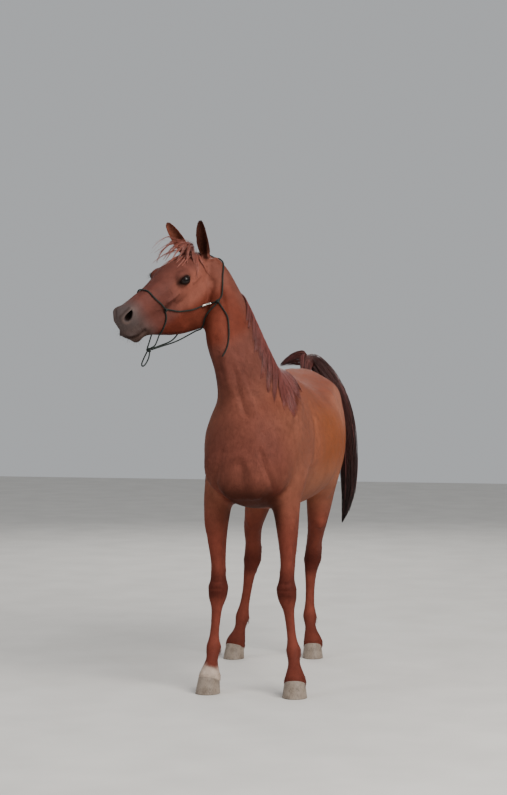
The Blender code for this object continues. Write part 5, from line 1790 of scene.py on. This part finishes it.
rng = np.random.default_rng(51)
tail_strands = evened(tail_paths(int(1480 * quick), rng), 3)
taper = np.linspace(1, 0, TAIL_STEPS) ** 0.5
radii = rng.uniform(0.0014, 0.0026, (len(tail_strands), 1)) * (0.15 + 0.85 * taper)[None]
tones = hair_tones(rng, len(radii), "#4c211c", "#150807", 0.4)
sunned = rng.random(len(radii)) < 0.45 * (tail_strands[:, -1, 0] < 0) + 0.1
tones[sunned] = hair_tones(rng, int(sunned.sum()), "#6e3a34", "#57292a", 0.25)
tail = strands("tail_locks", tail_strands, radii, tail_finish, tones)
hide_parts("tail_hair")

# %% [markdown]
# A horse's eye is among the largest of any land animal: a dark brown iris, a pupil that lies level like
# a letter slot, a rim of white that hardly shows, and a clear bulging cornea. The ball is one sphere,
# whose colours are rings and a slot worked out from the ball's own axis, with a coat layer for the gloss.

# %% Eyes
def eye_material(name, side):
    out, ahead, up = (Vector(v) for v in eye_frames[side])
    made, tree, place = finish(name, 0.6, Specular_IOR_Level=0.0, Coat_Weight=0.5, Coat_Roughness=0.03)
    centre = tuple(head_point(*EYE_AT, side) + SHIFT)
    rel = add(tree, "VectorMath", {0: place, 1: centre}, operation="SUBTRACT")

    def oval(wide, high):
        """How far out a place lies in an oval: 0 in its middle, 1 at its edge."""
        squares = []
        for way, width in ((ahead, wide), (up, high)):
            scaled = {0: rel, 1: tuple(way / EYE_RADIUS)}
            reach = add(tree, "VectorMath", scaled, give="Value", operation="DOT_PRODUCT")
            ratio = add(tree, "Math", {0: reach, 1: width}, operation="DIVIDE")
            squares.append(add(tree, "Math", {0: ratio, 1: 2.0}, operation="POWER"))
        return add(tree, "Math", {0: squares[0], 1: squares[1]}, operation="ADD")

    rings = ((0.0, "#1c0d08"), (0.55, "#140805"), (0.86, "#080403"), (1.0, "#2a1c17"))
    brown = add(tree, "ValToRGB", {"Fac": oval(0.72, 0.66)}, stops=rings)
    rays = add(tree, "TexNoise", {"Vector": rel, "Scale": 420.0, "Detail": 3.0})
    hole = add(tree, "MapRange", {"Value": oval(0.42, 0.2), "From Min": 0.8, "From Max": 1.15})
    limits = {"Value": rays, "From Min": 0.3, "From Max": 0.7, "To Min": 0.65, "To Max": 1.35}
    light = add(tree, "MapRange", limits)
    shade = add(tree, "Math", {0: light, 1: hole}, operation="MULTIPLY")
    add(tree, "VectorMath", {0: brown, "Scale": shade}, to="Base Color", operation="SCALE")
    return made


SIDES = ((1, "left"), (-1, "right"))
for side, label in SIDES:
    out = Vector(eye_frames[side][0])
    ball = bmesh.new()
    bmesh.ops.create_uvsphere(ball, u_segments=48, v_segments=32, radius=EYE_RADIUS - 0.0004)
    for vertex in ball.verts:
        if vertex.co.z > 0.7 * EYE_RADIUS:
            vertex.co.z += 0.001 * float(ease(vertex.co.z / EYE_RADIUS, 0.7, 1.0))
    facing = out.to_track_quat("Z", "Y").to_matrix().to_4x4()
    moved(ball, Matrix.Translation(head_point(*EYE_AT, side) + SHIFT) @ facing)
    eye = from_bmesh(f"eyeball_{label}", ball)
    eye.data.shade_smooth()
    eye.data.materials.append(eye_material(f"cornea_and_iris_{label}", side))
    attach(eye, "root")
    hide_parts(f"eye_{label}")
print("eyeballs", EYE_RADIUS * 2000, "mm across")

# %% [markdown]
# Lashes grow from the upper lid in a short fan, and stiff feelers stand on muzzle and chin. Both are a
# few strands of the same kind as the mane's, but straight and much shorter. The long fluff of the ears'
# edges and the tufts behind each fetlock break the outline in the same way.

# %% Lashes, ear fluff and fetlock tufts
def sprigs(roots, outs, ways, long, lift, thick, rng, droop=0.0):
    """Short hairs from given roots: along ways, standing off by lift."""
    s = np.linspace(0, 1, 6)[None, :, None]
    length = (long * rng.uniform(0.6, 1.15, len(roots)))[:, None, None]
    paths = roots[:, None] + ways[:, None] * length * s + outs[:, None] * lift * length * s**1.3
    paths = paths - np.array((0, 0, droop)) * length * s**2
    taper = np.linspace(1, 0.12, 6) ** 0.7
    return paths, thick * rng.uniform(0.7, 1.2, (len(roots), 1)) * taper[None]


rng = np.random.default_rng(61)
parts = []
for side in (1, -1):
    out, ahead, up = eye_frames[side]
    u = np.linspace(-0.85, 0.8, 46) + rng.normal(size=46) * 0.01
    v = 0.66 * (1 - (np.abs(u) / 1.07) ** 1.7) ** (1 / 1.7)
    angle = np.hypot(u, v)
    way = (np.outer(u, ahead) + np.outer(v, up)) * (np.sin(angle) / angle)[:, None]
    way = way + np.outer(np.cos(angle), out)
    roots = np.array(head_point(*EYE_AT, side)) + way * (EYE_RADIUS + 0.0018)
    lean = unit(np.outer(u, ahead) * 1.2 + out * 1.0 - up * 0.25 + rng.normal(size=roots.shape) * 0.1)
    parts.append(sprigs(roots, way, lean, 0.015, 0.1, 0.00045, rng, 0.15))
paths, radii = (np.concatenate(column) for column in zip(*parts))
tones = hair_tones(rng, len(radii), "#160b08", "#24120d")
strands("eyelashes", paths, radii, tail_finish, tones)


def skin_roots(chosen, number, rng):
    """Random corners of the skin where chosen is true, with their outward directions."""
    pick = rng.choice(np.where(chosen)[0], number)
    return clay.co[pick], clay.out[pick]


parts = []
for name, (root, axis, front, across), up, t, away in along_ears(clay.co):
    edge = (norms(away) < 0.034) & (t > 0.06) & (t < 0.9)
    edge &= (clay.out @ front > -0.1) & (np.abs(away @ across) > 0.01 * (1 - t))
    roots, outs = skin_roots(edge, 320, rng)
    inward = -np.sign((roots - root) @ across)[:, None] * across
    ways = unit(axis * 0.9 + inward * 0.45 + front * 0.35 + rng.normal(size=roots.shape) * 0.15)
    parts.append(sprigs(roots, outs, ways, 0.009, 0.1, 0.0004, rng))
for limb in LIMBS:
    placed = stance(*limb)
    behind = away_from(clay.co, on_limb(placed, 0.185, 0, 0.9)) < 0.036
    roots, outs = skin_roots(behind & (clay.out[:, 1] > 0.35), 260, rng)
    ways = unit(np.array((0.0, 0.3, -1.0)) + rng.normal(size=roots.shape) * 0.12)
    parts.append(sprigs(roots, outs, ways, 0.026, 0.1, 0.00055, rng))
    band = (np.abs(clay.co[:, 2] - 0.075) < 0.022) & (away_from(clay.co[:, :2], placed[-2][:2]) < 0.085)
    roots, outs = skin_roots(band, 420, rng)
    ways = tangent(np.tile((0.0, -0.05, -1.0), (len(roots), 1)), outs)
    parts.append(sprigs(roots, outs, ways, 0.014, 0.18, 0.0006, rng))
paths, radii = (np.concatenate(column) for column in zip(*parts))
tones = markings(paths[:, 0], np.tile((0.0, 1.0, 0.0), (len(paths), 1)))
tones = np.stack([tones * 0.85, tones * 1.15], axis=1)
strands("ear_and_fetlock_hair", paths, radii, tuft_finish, tones)
local = in_head(clay.co)
muzzle_skin = (local[:, 1] > 0.5) & (local[:, 2] < -0.06) & (clay.co[:, 2] > 1.5)
roots, outs = skin_roots(muzzle_skin, 90, rng)
ways = unit(outs + rng.normal(size=outs.shape) * 0.25)
paths, radii = sprigs(roots, outs, ways, 0.02, 0.1, 0.0003, rng, 0.2)
low, high = (np.array(corner) - np.array(SHIFT) for corner in (cad_low, cad_high))
paths = np.clip(paths, low + 0.001, high - 0.001)
tones = hair_tones(rng, len(radii), "#2a1a14", "#4a362c")
strands("feelers", paths, radii, tail_finish, tones)

# %% [markdown]
# A hoof is one big nail: a wall of horn that grows down from the coronet in fine tubes, ringed by the
# seasons, longer at the toe, with two soft bulbs behind. Rings of a loft give the wall, and the growth
# rings are real ripples in it. The horn here is pale, as under white or chestnut legs, and dusty.

# %% Hooves
HOOF_TOE, HOOF_HEEL = 0.078, 0.042
CORONET = math.atan2(HOOF_TOE - HOOF_HEEL, 0.1)


def hoof_shape(placed, turned, width):
    foot = Vector(placed[-1][:3])
    turn = Matrix.Rotation(math.radians(turned), 3, "Z")
    bm = bmesh.new()
    rings = []
    for share in [0.0, 0.012, *np.linspace(0.05, 0.97, 24), 1.0]:
        ripple = 0.00028 * math.sin(share * 40 + 9 * share**2) if 0.04 < share < 0.95 else 0
        worn = 0.0025 if share == 0.0 else 0
        verts, edges = circle(bm, 56)
        for vertex in verts:
            angle = math.atan2(vertex.co.y, vertex.co.x)
            c, s = math.cos(angle), math.sin(angle)
            half = width * (0.985 - 0.16 * share - (0.05 if share == 1.0 else 0.0)) - worn + ripple
            front = width * 1.12 * (0.985 - 0.1 * share) - worn + ripple
            heel = 0.78 if s < 0 else 1.0
            cleft = 0.01 * math.exp(-((c / 0.22) ** 2)) if s < 0 else 0.0
            x = math.copysign(abs(c) ** 0.9, c) * half
            y = -(s * front * heel) - 0.016 * (1 - share) - cleft
            wall = (HOOF_TOE + HOOF_HEEL) / 2 - math.tan(CORONET) * (y + cleft)
            vertex.co = foot + turn @ Vector((x, y, 0)) + Vector((0, 0, wall * share - foot.z))
        rings.append(edges)
    return bridged(bm, rings)


def mottled(name, roughness, scales, patches, stops, bump, **sockets):
    """Fine noise over coarse patches, as a ramp of colours; the fine noise raises the surface. Scales
    and patches end with the noise's detail; bump is its strength and its depth in metres."""
    made, tree, place = finish(name, roughness, **sockets)
    *scale, detail = scales
    drawn = add(tree, "Mapping", {"Vector": place, "Scale": scale})
    fine = add(tree, "TexNoise", {"Vector": drawn, "Scale": 1.0, "Detail": detail})
    coarse = add(tree, "TexNoise", {"Vector": place, "Scale": patches[0], "Detail": patches[1]})
    both = add(tree, "Math", {0: fine, 1: coarse}, operation="ADD")
    half = add(tree, "Math", {0: both, 1: 0.5}, operation="MULTIPLY")
    add(tree, "ValToRGB", {"Fac": half}, to="Base Color", stops=stops)
    add(tree, "Bump", {"Height": fine, "Strength": bump[0], "Distance": bump[1]}, to="Normal")
    return made


# Pale keratin in fine upright tubes, satin, stained by sand.
stops = ((0.32, "#51453b"), (0.46, "#7d6f62"), (0.6, "#8f8174"), (0.8, "#655749"))
scales, patches, bump = (420, 420, 26, 4.0), (30.0, 5.0), (0.4, 0.0008)
horn = mottled("hoof_horn_keratin", 0.5, scales, patches, stops, bump, Specular_IOR_Level=0.4)
for limb in LIMBS:
    width = 0.057 if limb[1] is FORE_ROWS else 0.053
    shape = moved(hoof_shape(stance(*limb), limb[2] * limb[5], width), Matrix.Translation(SHIFT))
    hoof = from_bmesh(f"{limb[0]}_hoof_wall", shape)
    hoof.data.shade_smooth()
    hoof.data.materials.append(horn)
    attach(hoof, "root")
    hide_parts(f"{limb[0]}_hoof")
print("hoof angle at the coronet", round(math.degrees(CORONET), 1))

# %% [markdown]
# A rope halter is one length of hard-laid polyester cord, about 7 mm thick, knotted so that it fits
# without a buckle. Each run follows its line over the face. The rope's cross-section has three lobes, for
# three strands, and turns as it goes: in Blender that is a curve with a lobed bevel object and a tilt
# that grows along the curve, made a mesh at the end.

# %% Rope
ROPE = 0.0034
LAY_LENGTH = 0.024  # one full turn of the three strands


def polyline(name, count, dimensions):
    """A new curve's data, and its one line of points."""
    curve = bpy.data.curves.new(name, "CURVE")
    curve.dimensions = dimensions
    spline = curve.splines.new("POLY")
    spline.points.add(count - 1)
    return curve, spline


lobes, spline = polyline("three_strands", 15, "2D")
for k, point in enumerate(spline.points):
    angle = 2 * math.pi * k / 15
    radius = ROPE * (0.84 + 0.22 * abs(math.cos(1.5 * angle)))
    point.co = (radius * math.cos(angle), radius * math.sin(angle), 0, 1)
spline.use_cyclic_u = True
profile = placed_object("three_strands", lobes)
# Polyester cord: dark green, slightly fuzzy and dusty, a dry satin.
stops = ((0.35, "#0d110f"), (0.5, "#171f1b"), (0.68, "#2a352f"))
scales, patches, bump = (900, 900, 900, 3.0), (60.0, 3.0), (0.5, 0.0005)
dry = {"Sheen_Weight": 0.05, "Sheen_Roughness": 0.5, "Specular_IOR_Level": 0.25}
rope_finish = mottled("laid_polyester_rope", 0.78, scales, patches, stops, bump, **dry)


def rope_piece(name, path, solid, material=rope_finish, size=1.0, tube=None):
    """A swept mesh along a path in the horse's frame: laid rope, or a plain tube of a given radius."""
    curve, spline = polyline(name, len(path), "3D")
    curve.twist_mode = "MINIMUM"
    lengths = travel(np.array(path))
    for k, place in enumerate(path):
        spline.points[k].co = (*(np.array(place) + np.array(SHIFT)), 1)
        spline.points[k].tilt = 0 if tube else lengths[k] / LAY_LENGTH * 2 * math.pi
        spline.points[k].radius = size * (0.72 if k in (0, len(path) - 1) else 1.0)
    if tube:
        curve.bevel_depth = tube
        curve.bevel_resolution = 5
    else:
        curve.bevel_mode = "OBJECT"
        curve.bevel_object = profile
    curve.use_fill_caps = True
    made = settled(placed_object(name, curve), name)
    bm = bmesh.new()
    bm.from_mesh(made.data)
    bmesh.ops.remove_doubles(bm, verts=bm.verts, dist=0.00001)
    bmesh.ops.recalc_face_normals(bm, faces=bm.faces)
    bm.to_mesh(made.data)
    bm.free()
    made.data.shade_smooth()
    made.data.materials.clear()
    made.data.materials.append(material)
    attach(made, "root")
    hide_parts(solid)
    return made


# All places are in the head's frame, but the free end's, which are in the horse's.
NOSE_KNOT, CHEEK_KNOT, CHIN_KNOT = table("""
51 347 -88
150 122 -158
0 461 -237
""")
NOSEBAND, CHEEK_ROPE, CROWN_ROPE, THROAT_ROPE, THROAT_AIR, DROP_ROPE, DROP_AIR, CHIN_LOOP, CORD = routes("""
51 347 -88, 55 368 -50, 52 387 -18, 26 391 16, 0 392 24
51 347 -88, 55 310 -115, 61 277 -136, 79 233 -150, 95 164 -159, 150 122 -158
150 122 -158, 152 90 -142, 144 62 -106, 130 34 -74, 112 0 -50, 75 -40 -30, 0 -60 -12
150 122 -158, 138 138 -185, 116 166 -218, 88 182 -252, 50 205 -284
16 300 -276, 8 390 -256, 6 452 -240
51 347 -88, 49 355 -129, 40 381 -166, 30 402 -200
20 436 -224, 9 459 -229
6 464 -243, 14 490 -262, 11 516 -279, 0 524 -284, -11 514 -278, -13 488 -261, -6.5 466 -241
-84 -156 1699, -71 -174 1641, -67 -191 1588, -78 -201 1544, -92 -206 1515
""")
OVER_COAT = ROPE + 0.0016


def on_head(points, side=1):
    return [tuple(head_point(*p, side)) for p in points]


def settled_run(run, lift):
    """A run brought to a set height over the skin and evened twice, so that it has no kinks."""
    lifts = np.full(len(run), lift)
    run = evened(lay_on_skin(run, lifts), 8)
    return lay_on_skin(run, lifts) * 0.5 + run * 0.5


def on_face(points, side=1):
    return settled_run(even_run(on_head(points, side), 0.004), OVER_COAT)


def round_head(points):
    """A run over the face from the left side to the right."""
    return np.concatenate([on_face(points, 1), on_face(points, -1)[::-1][1:]])


def joined_run(run, points):
    """A laid run that goes on through the air along a curve."""
    free = even_run([tuple(run[-1])] + points, 0.004)
    return np.concatenate([run, free[1:]])


runs = {"noseband": round_head(NOSEBAND), "crown": round_head(CROWN_ROPE)}
for side, label in SIDES:
    runs[f"cheek_rope_{label}"] = on_face(CHEEK_ROPE, side)
    runs[f"throat_rope_{label}"] = joined_run(on_face(THROAT_ROPE, side), on_head(THROAT_AIR, side))
    runs[f"drop_rope_{label}"] = joined_run(on_face(DROP_ROPE, side), on_head(DROP_AIR, side))
runs["chin_loop"] = even_run(on_head(CHIN_LOOP), 0.004)
for name, run in runs.items():
    rope_piece(f"rope_{name}", run, f"halter_{name}")

# %% [markdown]
# The tail of the crown rope hangs free beside the neck after it is tied off: a limp cord about a quarter
# of a metre long, with its end melted so that it doesn't fray. Each knot is an overhand turn: a trefoil,
# the simplest closed knot, squeezed into the space that the solid gives it.

# %% Free end, knots and sleeve
def knot_place(at, side):
    near, normal, index, away = skin_tree.find_nearest(head_point(*at, side))
    return near + normal * 0.0095, normal


cord_start = tuple(knot_place(CHEEK_KNOT, 1)[0])
cord_run = settled_run(even_run([cord_start] + CORD, 0.004), OVER_COAT + 0.0006)
cord_run[0] = cord_start
cord_run = evened(cord_run, 3)
free_end = rope_piece("rope_free_end", cord_run, "halter_cord")


def knot_piece(name, centre, axis, size):
    """A trefoil of rope, drawn tight."""
    turn = Vector(axis).normalized().to_track_quat("Z", "Y").to_matrix()
    path = []
    for k in range(73):
        t = 2 * math.pi * k / 72
        x = math.sin(t) + 2 * math.sin(2 * t)
        y = math.cos(t) - 2 * math.cos(2 * t)
        z = -math.sin(3 * t)
        path.append(tuple(centre + turn @ Vector((x * size * 0.205, y * size * 0.205, z * size * 0.42))))
    rope_piece(f"rope_{name}", path, f"halter_{name}", size=0.92)


for side, label in SIDES:
    for knot, at in (("nose_knot", NOSE_KNOT), ("cheek_knot", CHEEK_KNOT)):
        knot_piece(f"{knot}_{label}", *knot_place(at, side), 0.0098)
knot_piece("chin_knot", head_point(*CHIN_KNOT), HEAD.to_3x3() @ Vector((0, 0.5, -1)), 0.015)

sleeve_finish, tree, place = finish("nickel_plated_sleeve", 0.22, Metallic=1.0)
scratches = add(tree, "TexNoise", {"Vector": place, "Scale": 500.0, "Detail": 4.0})
stops = ((0.35, "#b9b5ad"), (0.65, "#e9e6df"))
add(tree, "ValToRGB", {"Fac": scratches}, to="Base Color", stops=stops)
add(tree, "MapRange", {"Value": scratches, "To Min": 0.15, "To Max": 0.38}, to="Roughness")
run = runs["cheek_rope_left"]
apart = away_from(run, cord_start)
sleeve_run = run[(apart > 0.03) & (apart < 0.075)]
for turn in range(40):
    sleeve_run[1:-1] = (sleeve_run[:-2] + sleeve_run[2:]) / 2
rope_piece("sleeve_tube", sleeve_run, "halter_sleeve", sleeve_finish, tube=0.0055)
bpy.data.objects.remove(profile)

# %% [markdown]
# The studio is plain: a pale floor that runs out of sight, and soft light from above, like open shade.
# One broad lamp high on the left gives form, a weaker one on the right keeps the far side from going
# black, a third lights the croup from behind, and the sky does the rest.

# %% Floor and light
plane = bmesh.new()
bmesh.ops.create_grid(plane, x_segments=1, y_segments=1, size=14)
floor = from_bmesh("floor", plane)
floor_finish, tree, place = finish("matt_paper_floor", 0.9)
grain = add(tree, "TexNoise", {"Vector": place, "Scale": 3.0})
stops = ((0.3, "#c9c6c1"), (0.7, "#d2cfca"))
add(tree, "ValToRGB", {"Fac": grain}, to="Base Color", stops=stops)
floor.data.materials.append(floor_finish)


def lamp(name, place, target, size, power, colour):
    light = bpy.data.lights.new(name, "AREA")
    light.size = size
    light.energy = power
    light.color = colour
    obj = placed_object(name, light)
    obj.location = place
    obj.rotation_euler = (Vector(target) - Vector(place)).to_track_quat("-Z", "Y").to_euler()


lamp("broad_lamp", (4.2, -3.4, 5.0), (0, 0, 1.1), 4.5, 620, (1.0, 0.97, 0.93))
lamp("side_lamp", (-5.0, -3.5, 4.6), (-0.3, -0.3, 1.4), 3.5, 110, (0.95, 0.97, 1.0))
lamp("rim_lamp", (-1.5, 6.0, 4.5), (0, 0, 1.2), 4.0, 170, (1.0, 0.98, 0.95))
sky = bpy.data.worlds.new("open_shade")
scene.world = sky
sky.use_nodes = True
sky.node_tree.nodes["Background"].inputs["Color"].default_value = (*linear("#e8ebee"), 1)
sky.node_tree.nodes["Background"].inputs["Strength"].default_value = 0.55
print("lamps 3")
